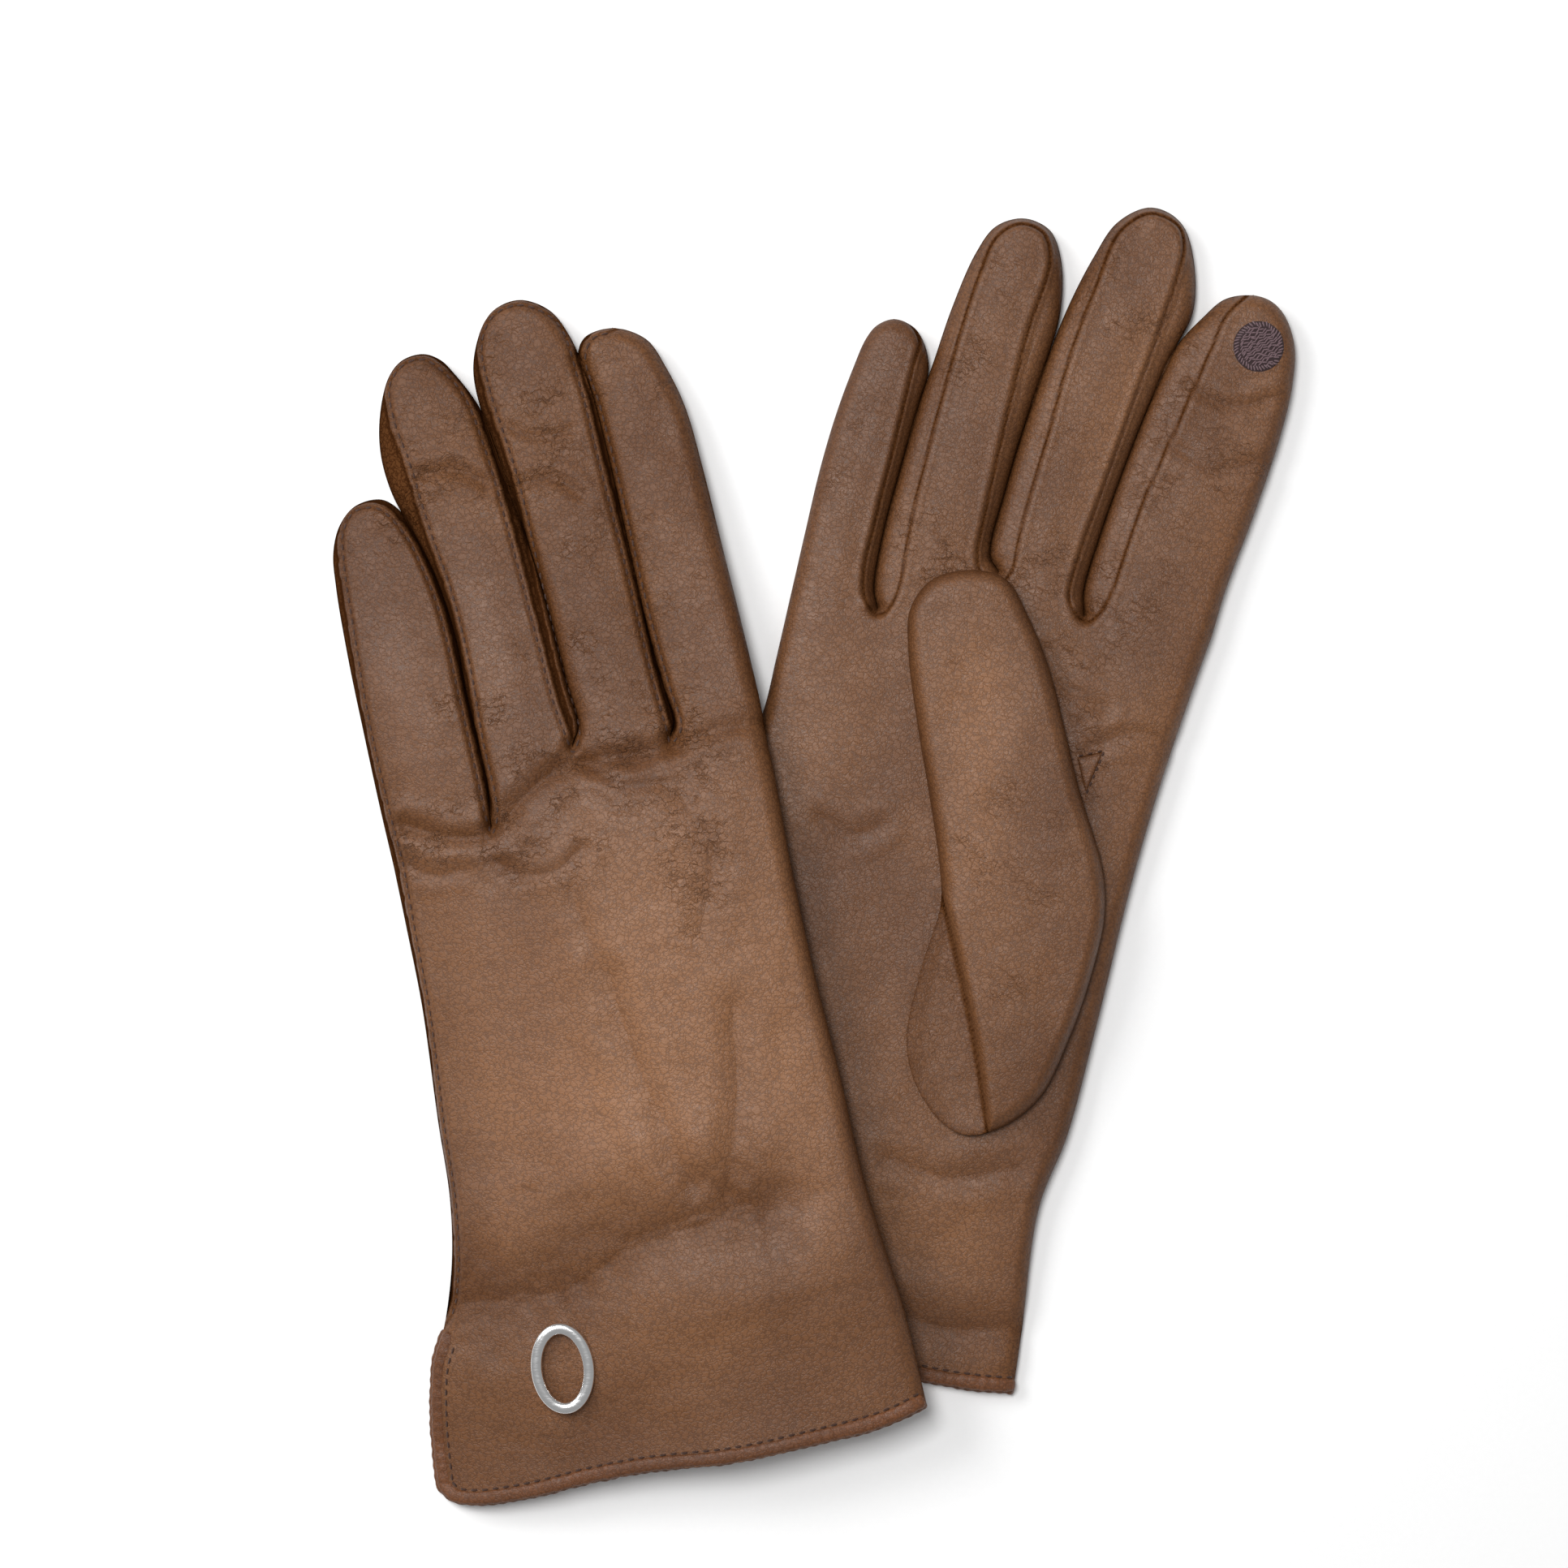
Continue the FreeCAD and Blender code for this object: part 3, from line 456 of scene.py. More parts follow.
def make(name, verts, faces, values=None, material=None, weld=True):
    """A mesh object from points in millimetres, with its resting place and values for the material."""
    verts = np.asarray(verts, float)
    values = dict(values or {})
    if weld:
        first, faces = tidy(verts, faces)
        verts = verts[first]
        values = {k: np.asarray(a)[first] for k, a in values.items()}
    mesh = bpy.data.meshes.new(name)
    mesh.from_pydata((verts * MM).tolist(), [], [list(map(int, f)) for f in faces])
    rest = mesh.attributes.new("rest", "FLOAT_VECTOR", "POINT")
    rest.data.foreach_set("vector", np.asarray(values.pop("rest", verts), float).ravel())
    for key, a in values.items():
        mesh.attributes.new(key, "FLOAT", "POINT").data.foreach_set("value", np.asarray(a, float))
    mesh.polygons.foreach_set("use_smooth", [True] * len(mesh.polygons))
    obj = bpy.data.objects.new(name, mesh)
    bpy.context.scene.collection.objects.link(obj)
    if material:
        mesh.materials.append(material)
    return obj


def grid_faces(rows, cols, start=0, flip=False):
    """Quads of a grid of points stored row by row."""
    i = (np.arange(rows - 1)[:, None] * cols + np.arange(cols - 1)[None, :]).ravel() + start
    quads = np.stack([i, i + 1, i + cols + 1, i + cols], 1)
    return quads[:, ::-1] if flip else quads


def bunched(n):
    """Shares from 0 to 1, closer together at both ends."""
    return 0.5 * (1 - np.cos(np.linspace(0, math.pi, n + 1)))


def local(glove, xy, z):
    """Resting place in the glove's own directions, which the leather's texture follows."""
    u, v = plan(glove, xy)
    return np.stack([u, v, z], 1)


def shell(name, glove, heights, grid, lifts=(0, 40), low_share=0.5):
    """Leather: a fine top sheet and a coarser bottom one over a grid of plan points, joined at the rim.

    lifts keep the texture of the two sheets apart, and low_share is how much of the top sheet's painted
    shade, painted highlights, dye tone and wrinkling the bottom one has.
    """
    parts, faces, start = [], [], 0
    sheets = (grid, True, lifts[0], 1), (grid[::2, ::2], False, lifts[1], low_share)
    for points, is_top, lift, share in sheets:
        rows, cols, _ = points.shape
        xy = points.reshape(-1, 2)
        top, low, dye_and_painted_light, wrinkle = heights(xy)
        z = top if is_top else low
        parts.append((np.column_stack([xy, z]), local(glove, xy, z + lift), dye_and_painted_light * share, wrinkle * share))
        faces += grid_faces(rows, cols, start, flip=not is_top).tolist()
        start += rows * cols
    verts, rest, dye_and_painted_light, wrinkle = (np.concatenate(a) for a in zip(*parts))
    return make(name, verts, faces, {"rest": rest, "dye_and_painted_light": dye_and_painted_light, "wrinkle": wrinkle}, BROWN)


def two_sheets(name, grid, upper, lower, material, values=None, weld=False):
    """Two facing sheets over one grid of plan points."""
    rows, cols, _ = grid.shape
    xy = grid.reshape(-1, 2)
    verts = np.vstack([np.column_stack([xy, upper]), np.column_stack([xy, lower])])
    faces = grid_faces(rows, cols).tolist() + grid_faces(rows, cols, rows * cols, flip=True).tolist()
    return make(name, verts, faces, values, material, weld)


def finger_grid(left, right, rows, cols, shrink=0.0):
    """Rows from the root to the tip between a finger's two outlines, closer together at the tip."""
    t = np.linspace(0, 1, rows + 1)
    share = 1 - (1 - t) ** 1.7
    a, b = along(left, share), along(right, share)
    k = bunched(cols)[None, :, None]
    if shrink:
        k = shrink + k * (1 - 2 * shrink)
    return a[:, None, :] * (1 - k) + b[:, None, :] * k


def hand_grid(glove, rows, cols):
    """Rows from the cuff to the finger roots, between the hand's two sides."""
    share = bunched(cols)
    roots = np.array(glove["roots"])
    across, ends = [], []
    for i, (a, b) in enumerate(zip(roots, roots[1:])):
        cut = share if i == 0 else share[1:]
        ends.append(a + (b - a) * cut[:, None])
        across.append((i + cut) / 4)
    far = np.vstack(ends)
    size = travel(far)
    p = size / size[-1]
    near = along(glove["line"]["cuff"], p)
    q = np.linspace(0, 1, rows + 1)
    left, right = along(glove["line"]["side_l"], q), along(glove["line"]["side_r"], q)
    p, q = p[None, :, None], q[:, None, None]
    flat = (1 - p) * (1 - q) * near[0] + p * (1 - q) * near[-1] + (1 - p) * q * far[0] + p * q * far[-1]
    return ((1 - q) * near[None] + q * far[None] + (1 - p) * left[:, None] + p * right[:, None]) - flat


def match_normals(objects):
    """Gives points that pieces share one normal, so that the joins between pieces don't show."""
    found, normals = {}, []
    for obj in objects:
        mesh = obj.data
        n = np.zeros(len(mesh.vertices) * 3)
        mesh.vertex_normals.foreach_get("vector", n)
        n = n.reshape(-1, 3)
        normals.append(n)
        co = np.zeros(len(mesh.vertices) * 3)
        mesh.vertices.foreach_get("co", co)
        keys = np.round(co.reshape(-1, 3) * 1e5).astype(int)
        for i, key in enumerate(map(tuple, keys)):
            found.setdefault(key, []).append((len(normals) - 1, i))
    for spots in found.values():
        if len({k for k, _ in spots}) > 1:
            total = sum(normals[k][i] for k, i in spots)
            total = total / max(np.linalg.norm(total), 1e-9)
            for k, i in spots:
                normals[k][i] = total
    for obj, n in zip(objects, normals):
        obj.data.normals_split_custom_set_from_vertices(n.tolist())


# ---------------------------------------------------------------- materials

class Nodes:
    """Short names for building a material."""

    def __init__(self, name):
        self.material = bpy.data.materials.new(name)
        self.material.use_nodes = True
        self.tree = self.material.node_tree
        self.tree.nodes.clear()
        self.out = self.add("ShaderNodeOutputMaterial")
        self.shader = self.add("ShaderNodeBsdfPrincipled")
        self.link(self.shader.outputs[0], self.out.inputs[0])

    def add(self, kind, **settings):
        node = self.tree.nodes.new(kind)
        for key, value in settings.items():
            setattr(node, key, value)
        return node

    def link(self, a, b):
        self.tree.links.new(a, b)

    def put(self, node, name, value):
        socket = node.inputs[name]
        if isinstance(value, bpy.types.NodeSocket):
            self.link(value, socket)
        else:
            socket.default_value = value

    def math(self, operation, a, b=0.0, clamp=False):
        node = self.add("ShaderNodeMath", operation=operation, use_clamp=clamp)
        for i, value in enumerate((a, b)):
            self.put(node, i, value)
        return node.outputs[0]

    def attribute(self, name, vector=False):
        node = self.add("ShaderNodeAttribute", attribute_name=name)
        return node.outputs["Vector" if vector else "Fac"]

    def stretch(self, vector, scale, turn=0.0, shift=(0, 0, 0)):
        node = self.add("ShaderNodeMapping")
        self.put(node, "Vector", vector)
        node.inputs["Scale"].default_value = scale
        node.inputs["Rotation"].default_value = (0, 0, turn)
        node.inputs["Location"].default_value = shift
        return node.outputs[0]

    def noise(self, vector, scale, detail=3.0, rough=0.55, distortion=0.0):
        node = self.add("ShaderNodeTexNoise")
        self.put(node, "Vector", vector)
        node.inputs["Scale"].default_value = scale
        node.inputs["Detail"].default_value = detail
        node.inputs["Roughness"].default_value = rough
        node.inputs["Distortion"].default_value = distortion
        return node.outputs["Fac"]

    def cells(self, vector, scale):
        node = self.add("ShaderNodeTexVoronoi", feature="DISTANCE_TO_EDGE")
        self.put(node, "Vector", vector)
        node.inputs["Scale"].default_value = scale
        node.inputs["Randomness"].default_value = 1.0
        return node.outputs["Distance"]

    def ramp(self, value, low, high, to_low=0.0, to_high=1.0):
        node = self.add("ShaderNodeMapRange", interpolation_type="SMOOTHSTEP")
        self.put(node, "Value", value)
        for name, number in (("From Min", low), ("From Max", high), ("To Min", to_low), ("To Max", to_high)):
            self.put(node, name, number)
        return node.outputs[0]

    def mix(self, share, a, b):
        node = self.add("ShaderNodeMix", data_type="RGBA")
        self.put(node, 0, share)
        self.put(node, 6, a)
        self.put(node, 7, b)
        return node.outputs[2]

    def bump(self, height, distance, strength=1.0):
        node = self.add("ShaderNodeBump")
        self.put(node, "Height", height)
        node.inputs["Distance"].default_value = distance
        node.inputs["Strength"].default_value = strength
        return node.outputs[0]

    def surface(self, **values):
        for key, value in values.items():
            self.put(self.shader, key.replace("_", " "), value)
        return self.material


def srgb(r, g, b):
    """A colour given as 0 to 255 values, made linear."""
    part = [c / 255 for c in (r, g, b)]
    return (*[c / 12.92 if c <= 0.04045 else ((c + 0.055) / 1.055) ** 2.4 for c in part], 1.0)


def leather(name, light, dark, grain=1.0):
    """Soft nappa leather: small pebbled cells, fine creases where it bends, mottled dye, a soft sheen, and
    painted shade and painted highlights from the glove's values.
    """
    n = Nodes(name)
    rest = n.attribute("rest", vector=True)
    dye_and_painted_light, wrinkle = n.attribute("dye_and_painted_light"), n.attribute("wrinkle")
    warp = n.add("ShaderNodeVectorMath", operation="MULTIPLY_ADD")
    swirl = n.add("ShaderNodeTexNoise")
    n.put(swirl, "Vector", n.stretch(rest, (0.16, 0.16, 0.16)))
    swirl.inputs["Detail"].default_value = 2.0
    n.link(swirl.outputs["Color"], warp.inputs[0])
    warp.inputs[1].default_value = (2.4, 2.4, 2.4)
    n.link(rest, warp.inputs[2])
    place = warp.outputs[0]
    cells = n.cells(n.stretch(place, (0.72, 1.0, 0.9), 0.35), 1.0 / grain)
    small = n.cells(n.stretch(place, (1.9, 2.5, 2.2), -0.3), 1.0 / grain)
    pebble = n.math("ADD", n.ramp(cells, 0.0, 0.22), n.math("MULTIPLY", n.ramp(small, 0.0, 0.25), 0.45))
    line = n.noise(n.stretch(place, (0.16, 0.50, 0.2), 0.1), 1.0, 2.0, 0.5, 0.5)
    crease = n.math("ABSOLUTE", n.math("SUBTRACT", line, 0.5))
    crease = n.ramp(crease, 0.0, 0.022, 1.0, 0.0)
    net = n.cells(n.stretch(place, (0.26, 0.46, 0.4), 0.15), 1.0)
    crease = n.math("MAXIMUM", crease, n.ramp(net, 0.0, 0.05, 0.8, 0.0))
    broken = n.ramp(n.noise(n.stretch(place, (0.13, 0.13, 0.13), 0.4, (7, 3, 1)), 1.0, 2.0), 0.44, 0.60)
    crease = n.math("MULTIPLY", n.math("MULTIPLY", crease, broken), n.ramp(wrinkle, 0.30, 1.0, 0.03, 1.0))
    patchy = n.noise(n.stretch(rest, (0.030, 0.024, 0.03)), 1.0, 3.0, 0.55)
    fine = n.noise(n.stretch(rest, (0.22, 0.22, 0.22)), 1.0, 3.0, 0.6)
    colour = n.mix(n.ramp(patchy, 0.34, 0.66), dark, light)
    colour = n.mix(n.ramp(fine, 0.3, 0.75, 0.0, 0.35), colour, dark)
    pores = n.math("MULTIPLY", n.ramp(cells, 0.0, 0.15, 1.0, 0.0), 0.44)
    # Dark pores of the grain, and painted shade in the fine creases.
    shade = n.math("ADD", pores, n.math("MULTIPLY", crease, 0.22))
    # Painted highlights: where the values are negative the colour is lifted towards a much lighter brown.
    painted_highlight = n.math("MULTIPLY", dye_and_painted_light, -1.0, clamp=True)
    colour = n.mix(painted_highlight, colour, (light[0] * 2.7, light[1] * 3.1, light[2] * 3.9, 1.0))
    # Painted shade: where the values are positive the colour, with the pores and creases, is darkened towards
    # a very dark brown.
    shade = n.math("ADD", shade, n.math("MULTIPLY", n.math("MAXIMUM", dye_and_painted_light, 0.0), 1.4), clamp=True)
    deep = (dark[0] * 0.30, dark[1] * 0.26, dark[2] * 0.24, 1.0)
    colour = n.mix(shade, colour, deep)
    rough = n.math("ADD", n.ramp(fine, 0.25, 0.75, 0.42, 0.52), n.math("MULTIPLY", crease, 0.15))
    height = n.math("SUBTRACT", n.math("MULTIPLY", pebble, 0.036), n.math("MULTIPLY", crease, 0.13))
    height = n.math("ADD", height, n.math("MULTIPLY", fine, 0.05))
    normal = n.bump(height, MM, 1.0)
    gloss = n.math("SUBTRACT", 0.40, n.math("MULTIPLY", n.math("MAXIMUM", dye_and_painted_light, 0.0), 1.2), clamp=True)
    return n.surface(Base_Color=colour, Roughness=rough, Normal=normal, Specular_IOR_Level=gloss)


def knit(name, light, dark):
    """A fine jersey knit: columns of small loops."""
    n = Nodes(name)
    rest = n.attribute("rest", vector=True)
    wave = n.add("ShaderNodeTexWave", wave_type="BANDS", bands_direction="X", wave_profile="SIN")
    n.put(wave, "Vector", n.stretch(rest, (0.42, 0.42, 0.42)))
    wave.inputs["Scale"].default_value = 1.0
    wave.inputs["Distortion"].default_value = 1.2
    rows = n.add("ShaderNodeTexWave", wave_type="BANDS", bands_direction="Y", wave_profile="SIN")
    n.put(rows, "Vector", n.stretch(rest, (0.6, 0.6, 0.6)))
    rows.inputs["Scale"].default_value = 1.0
    rows.inputs["Distortion"].default_value = 2.0
    loops = n.math("MULTIPLY", wave.outputs["Fac"], rows.outputs["Fac"])
    fuzz = n.noise(rest, 2.6, 3.0, 0.7)
    colour = n.mix(n.math("ADD", n.math("MULTIPLY", loops, 0.7), n.math("MULTIPLY", fuzz, 0.3)), dark, light)
    height = n.math("ADD", loops, n.math("MULTIPLY", fuzz, 0.5))
    return n.surface(Base_Color=colour, Roughness=0.9, Normal=n.bump(height, 0.25 * MM, 0.9),
                     Sheen_Weight=0.3, Specular_IOR_Level=0.2)


def thread(name, light, dark, gloss=0.55):
    """Twisted sewing thread."""
    n = Nodes(name)
    rest = n.attribute("rest", vector=True)
    twist = n.add("ShaderNodeTexWave", wave_type="BANDS", bands_direction="DIAGONAL", wave_profile="SIN")
    n.put(twist, "Vector", rest)
    twist.inputs["Scale"].default_value = 2.2
    twist.inputs["Distortion"].default_value = 1.0
    fuzz = n.noise(rest, 3.0, 2.0)
    share = n.math("ADD", n.math("MULTIPLY", twist.outputs["Fac"], 0.6), n.math("MULTIPLY", fuzz, 0.5))
    return n.surface(Base_Color=n.mix(share, dark, light), Roughness=gloss, Specular_IOR_Level=0.35,
                     Normal=n.bump(twist.outputs["Fac"], 0.05 * MM, 0.8), Sheen_Weight=0.15)


def metal(name, colour, rough):
    """Polished metal with faint handling marks."""
    n = Nodes(name)
    rest = n.attribute("rest", vector=True)
    marks = n.noise(n.stretch(rest, (0.6, 4.0, 1.0)), 1.0, 4.0, 0.7)
    return n.surface(Base_Color=colour, Metallic=1.0, Roughness=n.ramp(marks, 0.3, 0.8, rough, rough + 0.12),
                     Normal=n.bump(marks, 0.01 * MM, 0.4))


def cloth_tape(name, light, dark):
    """A plain woven tape."""
    n = Nodes(name)
    rest = n.attribute("rest", vector=True)
    weave = n.add("ShaderNodeTexChecker")
    n.put(weave, "Vector", rest)
    weave.inputs["Scale"].default_value = 3.2
    fuzz = n.noise(rest, 2.0, 3.0)
    share = n.math("ADD", n.math("MULTIPLY", weave.outputs["Fac"], 0.5), n.math("MULTIPLY", fuzz, 0.5))
    return n.surface(Base_Color=n.mix(share, dark, light), Roughness=0.8,
                     Normal=n.bump(share, 0.08 * MM, 0.6), Sheen_Weight=0.2)


BROWN = leather("glove_leather", srgb(114, 74, 43), srgb(98, 61, 33))
STRIP = leather("gusset_leather", srgb(109, 70, 42), srgb(93, 57, 31), 0.9)
EDGE = leather("binding_leather", srgb(112, 68, 38), srgb(92, 55, 29), 0.85)
LINING = knit("lining_knit", srgb(120, 100, 84), srgb(72, 58, 48))
THREAD = thread("seam_thread", srgb(72, 40, 24), srgb(40, 22, 13))
TOUCH = thread("touch_thread", srgb(124, 100, 104), srgb(84, 64, 70), 0.5)
TOUCH_GROUND = thread("touch_ground", srgb(58, 38, 40), srgb(34, 22, 24), 0.8)
SILVER = metal("ornament_metal", srgb(244, 244, 244), 0.14)
STEEL = metal("backing_metal", srgb(170, 170, 172), 0.32)
TAPE = cloth_tape("label_tape", srgb(232, 228, 218), srgb(200, 196, 186))

# Spacing of the stitches, and how far the lining lies inside the leather.
STITCH_PITCH = 2.2
LINING_BELOW_TOP = 2.3
LINING_ABOVE_LOW = 1.1


# ---------------------------------------------------------------- small sewn parts

def capsules(name, centres, directions, normals, length, radius, material, flat=0.8, sides=7):
    """Many small stitches in one mesh: rounded rods lying along the leather."""
    profile = [(-0.5, 0.25), (-0.42, 0.7), (-0.2, 1.0), (0.2, 1.0), (0.42, 0.7), (0.5, 0.25)]
    verts, faces = [], []
    ring = np.linspace(0, 2 * math.pi, sides, endpoint=False)
    for c, d, up in zip(centres, directions, normals):
        d = d / np.linalg.norm(d)
        side = np.cross(d, up)
        side = side / np.linalg.norm(side)
        up = np.cross(side, d)
        start = len(verts)
        for k, r in profile:
            dip = -0.55 * radius * (abs(k) / 0.5) ** 2
            for a in ring:
                verts.append(c + d * k * length + side * math.cos(a) * r * radius
                             + up * (math.sin(a) * r * radius * flat + dip))
        for i in range(len(profile) - 1):
            for j in range(sides):
                a, b = start + i * sides + j, start + i * sides + (j + 1) % sides
                faces.append((a, b, b + sides, a + sides))
        faces.append(tuple(start + j for j in range(sides))[::-1])
        faces.append(tuple(start + (len(profile) - 1) * sides + j for j in range(sides)))
    return make(name, verts, faces, {}, material, weld=False)


def seam_rods(line, height, pitch, shift=0.0):
    """Centres, directions and up directions of stitches evenly spaced along a plan line."""
    length = np.linalg.norm(np.diff(line, axis=0), axis=1).sum()
    count = max(2, int(length / pitch))
    at = (np.arange(count) + 0.5) / count
    mid = along(line, at)
    before = along(line, np.clip(at - 0.4 / length, 0, 1))
    after = along(line, np.clip(at + 0.4 / length, 0, 1))
    z0, z1 = height(before), height(after)
    zm = height(mid)
    direction = np.column_stack([after - before, z1 - z0])
    return np.column_stack([mid, zm + shift]), direction, np.tile([0.0, 0.0, 1.0], (count, 1))


def sweep(name, path, wide, high, material, pucker, sides=14):
    """A rounded strip along a path of 3-D points, with small gathers along it."""
    path = np.asarray(path, float)
    tangent = np.gradient(path, axis=0)
    tangent /= np.linalg.norm(tangent, axis=1)[:, None]
    side = np.column_stack([-tangent[:, 1], tangent[:, 0], np.zeros(len(path))])
    side /= np.linalg.norm(side, axis=1)[:, None]
    up = np.cross(tangent, side)
    size = travel(path)
    a = np.linspace(0, 2 * math.pi, sides, endpoint=False)
    ca, sa = np.cos(a), np.sin(a)
    across = np.sign(ca) * np.abs(ca) ** 0.75 * wide
    rise = np.sign(sa) * np.abs(sa) ** 0.75 * high
    swell = 1 + pucker * np.cos(size * (2 * math.pi / STITCH_PITCH)) + 0.10 * noise(size / 3, size * 0, 91)
    cap = np.minimum(size, size[-1] - size)
    swell = swell * np.sqrt(np.clip(1 - (1 - np.clip(cap / (high * 1.2), 0.02, 1)) ** 2, 0, 1))
    verts = (path[:, None, :] + side[:, None, :] * (across[None, :, None] * swell[:, None, None])
             + up[:, None, :] * (rise[None, :, None] * swell[:, None, None]))
    verts = verts.reshape(-1, 3)
    faces = []
    for i in range(len(path) - 1):
        for j in range(sides):
            p, q = i * sides + j, i * sides + (j + 1) % sides
            faces.append((p, q, q + sides, p + sides))
    faces.append(tuple(range(sides))[::-1])
    faces.append(tuple((len(path) - 1) * sides + j for j in range(sides)))
    extra = {"dye_and_painted_light": np.full(len(verts), 0.02), "wrinkle": np.full(len(verts), 0.5)}
    return make(name, verts, faces, extra, material, weld=False)


# ---------------------------------------------------------------- joints

def joint(name):
    for j in frame["joints"]:
        if j["name"] == name:
            return j
    raise ValueError(name)


def blend_finger(piece, side, name):
    """Works out where the finger's bend would start and end about its hinge, but only bakes the piece's place
    into its mesh: the piece follows neither the hand nor the finger.
    """
    glove = GLOVES[side]
    hinge = np.array(joint(f"{side}_{name}_fold")["pos_m"]) / MM
    i = FINGERS.index(name)
    roots = np.array(glove["roots"])
    tip = np.array(glove[name][0][-1])
    way = tip - (roots[i] + roots[i + 1]) / 2
    way = way / np.linalg.norm(way)
    room = min(float(np.dot(hinge[:2] - roots[k], way)) for k in (i, i + 1)) - 0.6
    before = min(7.0, room)
    start = hinge.copy()
    start[:2] -= way * before
    end = hinge.copy()
    end[:2] += way * max(9.0, 16.0 - before)
    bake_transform(piece)


# ---------------------------------------------------------------- build the gloves

for g in GLOVES.values():
    prepare(g)

for side in SIDES:
    glove = GLOVES[side]
    heights = partial(relief, glove)
    hand = shell(f"{side}_hand_shell", glove, heights, hand_grid(glove, HAND_ROWS, COLS))
    shells = [hand]
    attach(hand, f"{side}_hand")
    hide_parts(f"{side}_back_leather", f"{side}_palm_leather", f"{side}_outer_seam",
                f"{side}_fourchette_roots")
    for i, name in enumerate(FINGERS):
        left, right = glove["line"][name]
        piece = shell(f"{side}_{name}_shell", glove, heights, finger_grid(left, right, FINGER_ROWS, COLS))
        shells.append(piece)
        blend_finger(piece, side, name)
        neighbours = [other for k, other in enumerate(FINGERS) if abs(k - i) == 1]
        strips = [f"{side}_{name}_fourchette_by_{other}" for other in neighbours]
        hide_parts(f"{side}_{name}_leather", *strips)
    match_normals(shells)


# ---------------------------------------------------------------- linings

def lining_shell(name, glove, grid):
    """Two knit sheets just inside the leather, closed where they meet."""
    xy = grid.reshape(-1, 2)
    top, low, _, _ = relief(glove, xy, detail=False)
    middle = top * 0.58 + low * 0.42
    upper, lower = np.maximum(top - LINING_BELOW_TOP, middle), np.minimum(low + LINING_ABOVE_LOW, middle)
    rest = np.vstack([local(glove, xy, upper), local(glove, xy, lower)])
    return two_sheets(name, grid, upper, lower, LINING, {"rest": rest}, weld=True)


for side in SIDES:
    glove = GLOVES[side]
    grid = hand_grid(glove, 40, 16)
    middle = grid.mean(axis=1, keepdims=True)
    grid = middle + (grid - middle) * 0.965
    piece = lining_shell(f"{side}_hand_knit", glove, grid[1:])
    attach(piece, f"{side}_hand")
    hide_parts(f"{side}_hand_lining")
    for name in FINGERS:
        left, right = glove["line"][name]
        grid = finger_grid(left, right, 40, 16, 0.06)[:-1]
        piece = lining_shell(f"{side}_{name}_knit", glove, grid)
        blend_finger(piece, side, name)
        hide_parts(f"{side}_{name}_lining")


# ---------------------------------------------------------------- stitching and bound edges

def inset(line, gap):
    """A plan line moved to its left by gap, with the kinks that this makes smoothed out."""
    way = np.gradient(line, axis=0)
    way /= np.linalg.norm(way, axis=1)[:, None]
    moved = line + np.column_stack([-way[:, 1], way[:, 0]]) * gap
    keep = (np.diff(moved, axis=0) * way[:-1]).sum(1) > 0
    moved = moved[np.concatenate([[True], keep])]
    return evenly(moved, int(np.linalg.norm(np.diff(moved, axis=0), axis=1).sum() / 0.4))


def edge_line(glove):
    """The open edge of the cuff: down the vent, round its corner and along the hem."""
    side = glove["line"]["side_l"]
    _, v = plan(glove, side)
    down = side[v < 34.8][::-1]
    line = np.vstack([down[:-2], glove["line"]["cuff"][1:]])
    return evenly(line, int(np.linalg.norm(np.diff(line, axis=0), axis=1).sum() / 0.3))


def above_roots(glove, xy):
    """Which finger each plan point is on, or -1 on the hand."""
    best, owner = np.full(len(xy), 1e9), np.full(len(xy), -1)
    roots = np.array(glove["roots"])
    for i, name in enumerate(FINGERS):
        left, right = glove["line"][name]
        mid = (along(left, np.linspace(0, 1, 60)) + along(right, np.linspace(0, 1, 60))) / 2
        gap, _, _ = Lines([mid]).near(xy)
        chord = roots[i + 1] - roots[i]
        rel = xy - roots[i]
        beyond = chord[0] * rel[:, 1] - chord[1] * rel[:, 0] > 0
        use = gap < best
        best = np.where(use, gap, best)
        owner = np.where(use, np.where(beyond, i, -1), owner)
    return owner


for side in SIDES:
    glove = GLOVES[side]
    hem = edge_line(glove)
    back, palm = ("back", "palm") if glove["back_up"] else ("palm", "back")
    path = inset(hem, 1.45)
    top, _, _, _ = relief(glove, path)
    upper = sweep(f"{side}_cuff_binding_upper", np.column_stack([path, top - 0.4]), 1.5, 1.0, EDGE,
                  pucker=0.05)
    path = inset(hem, 0.75)
    _, low, _, _ = relief(glove, inset(hem, 1.45))
    low = np.interp(np.linspace(0, 1, len(path)), np.linspace(0, 1, len(low)), low)
    lower = sweep(f"{side}_cuff_binding_lower", np.column_stack([path, low + 1.15]), 1.5, 0.95, EDGE,
                  pucker=0.05)
    for piece, layer in ((upper, back), (lower, palm)):
        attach(piece, f"{side}_hand")
        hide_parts(f"{side}_cuff_binding_{layer}")
    rods = seam_rods(inset(hem, 3.1)[6:], lambda xy: relief(glove, xy)[0], STITCH_PITCH, 0.10)
    piece = capsules(f"{side}_cuff_stitches", *rods, 1.35, 0.24, THREAD)
    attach(piece, f"{side}_hand")
    if not glove["back_up"]:
        continue
    line = glove["line"]["seam"]
    mid, way, up = seam_rods(line, lambda xy: relief(glove, xy)[0], STITCH_PITCH, 0.10)
    owner = above_roots(glove, mid[:, :2])
    _, v = plan(glove, mid[:, :2])
    shown = (v > 37) & (np.arange(len(mid)) < len(mid) - 9)
    for i in range(-1, 4):
        use = shown & (owner == i)
        name = "hand" if i < 0 else FINGERS[i]
        piece = capsules(f"{side}_{name}_stitches", mid[use], way[use], up[use], 1.4, 0.25, THREAD)
        if i < 0:
            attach(piece, f"{side}_hand")
        else:
            blend_finger(piece, side, name)


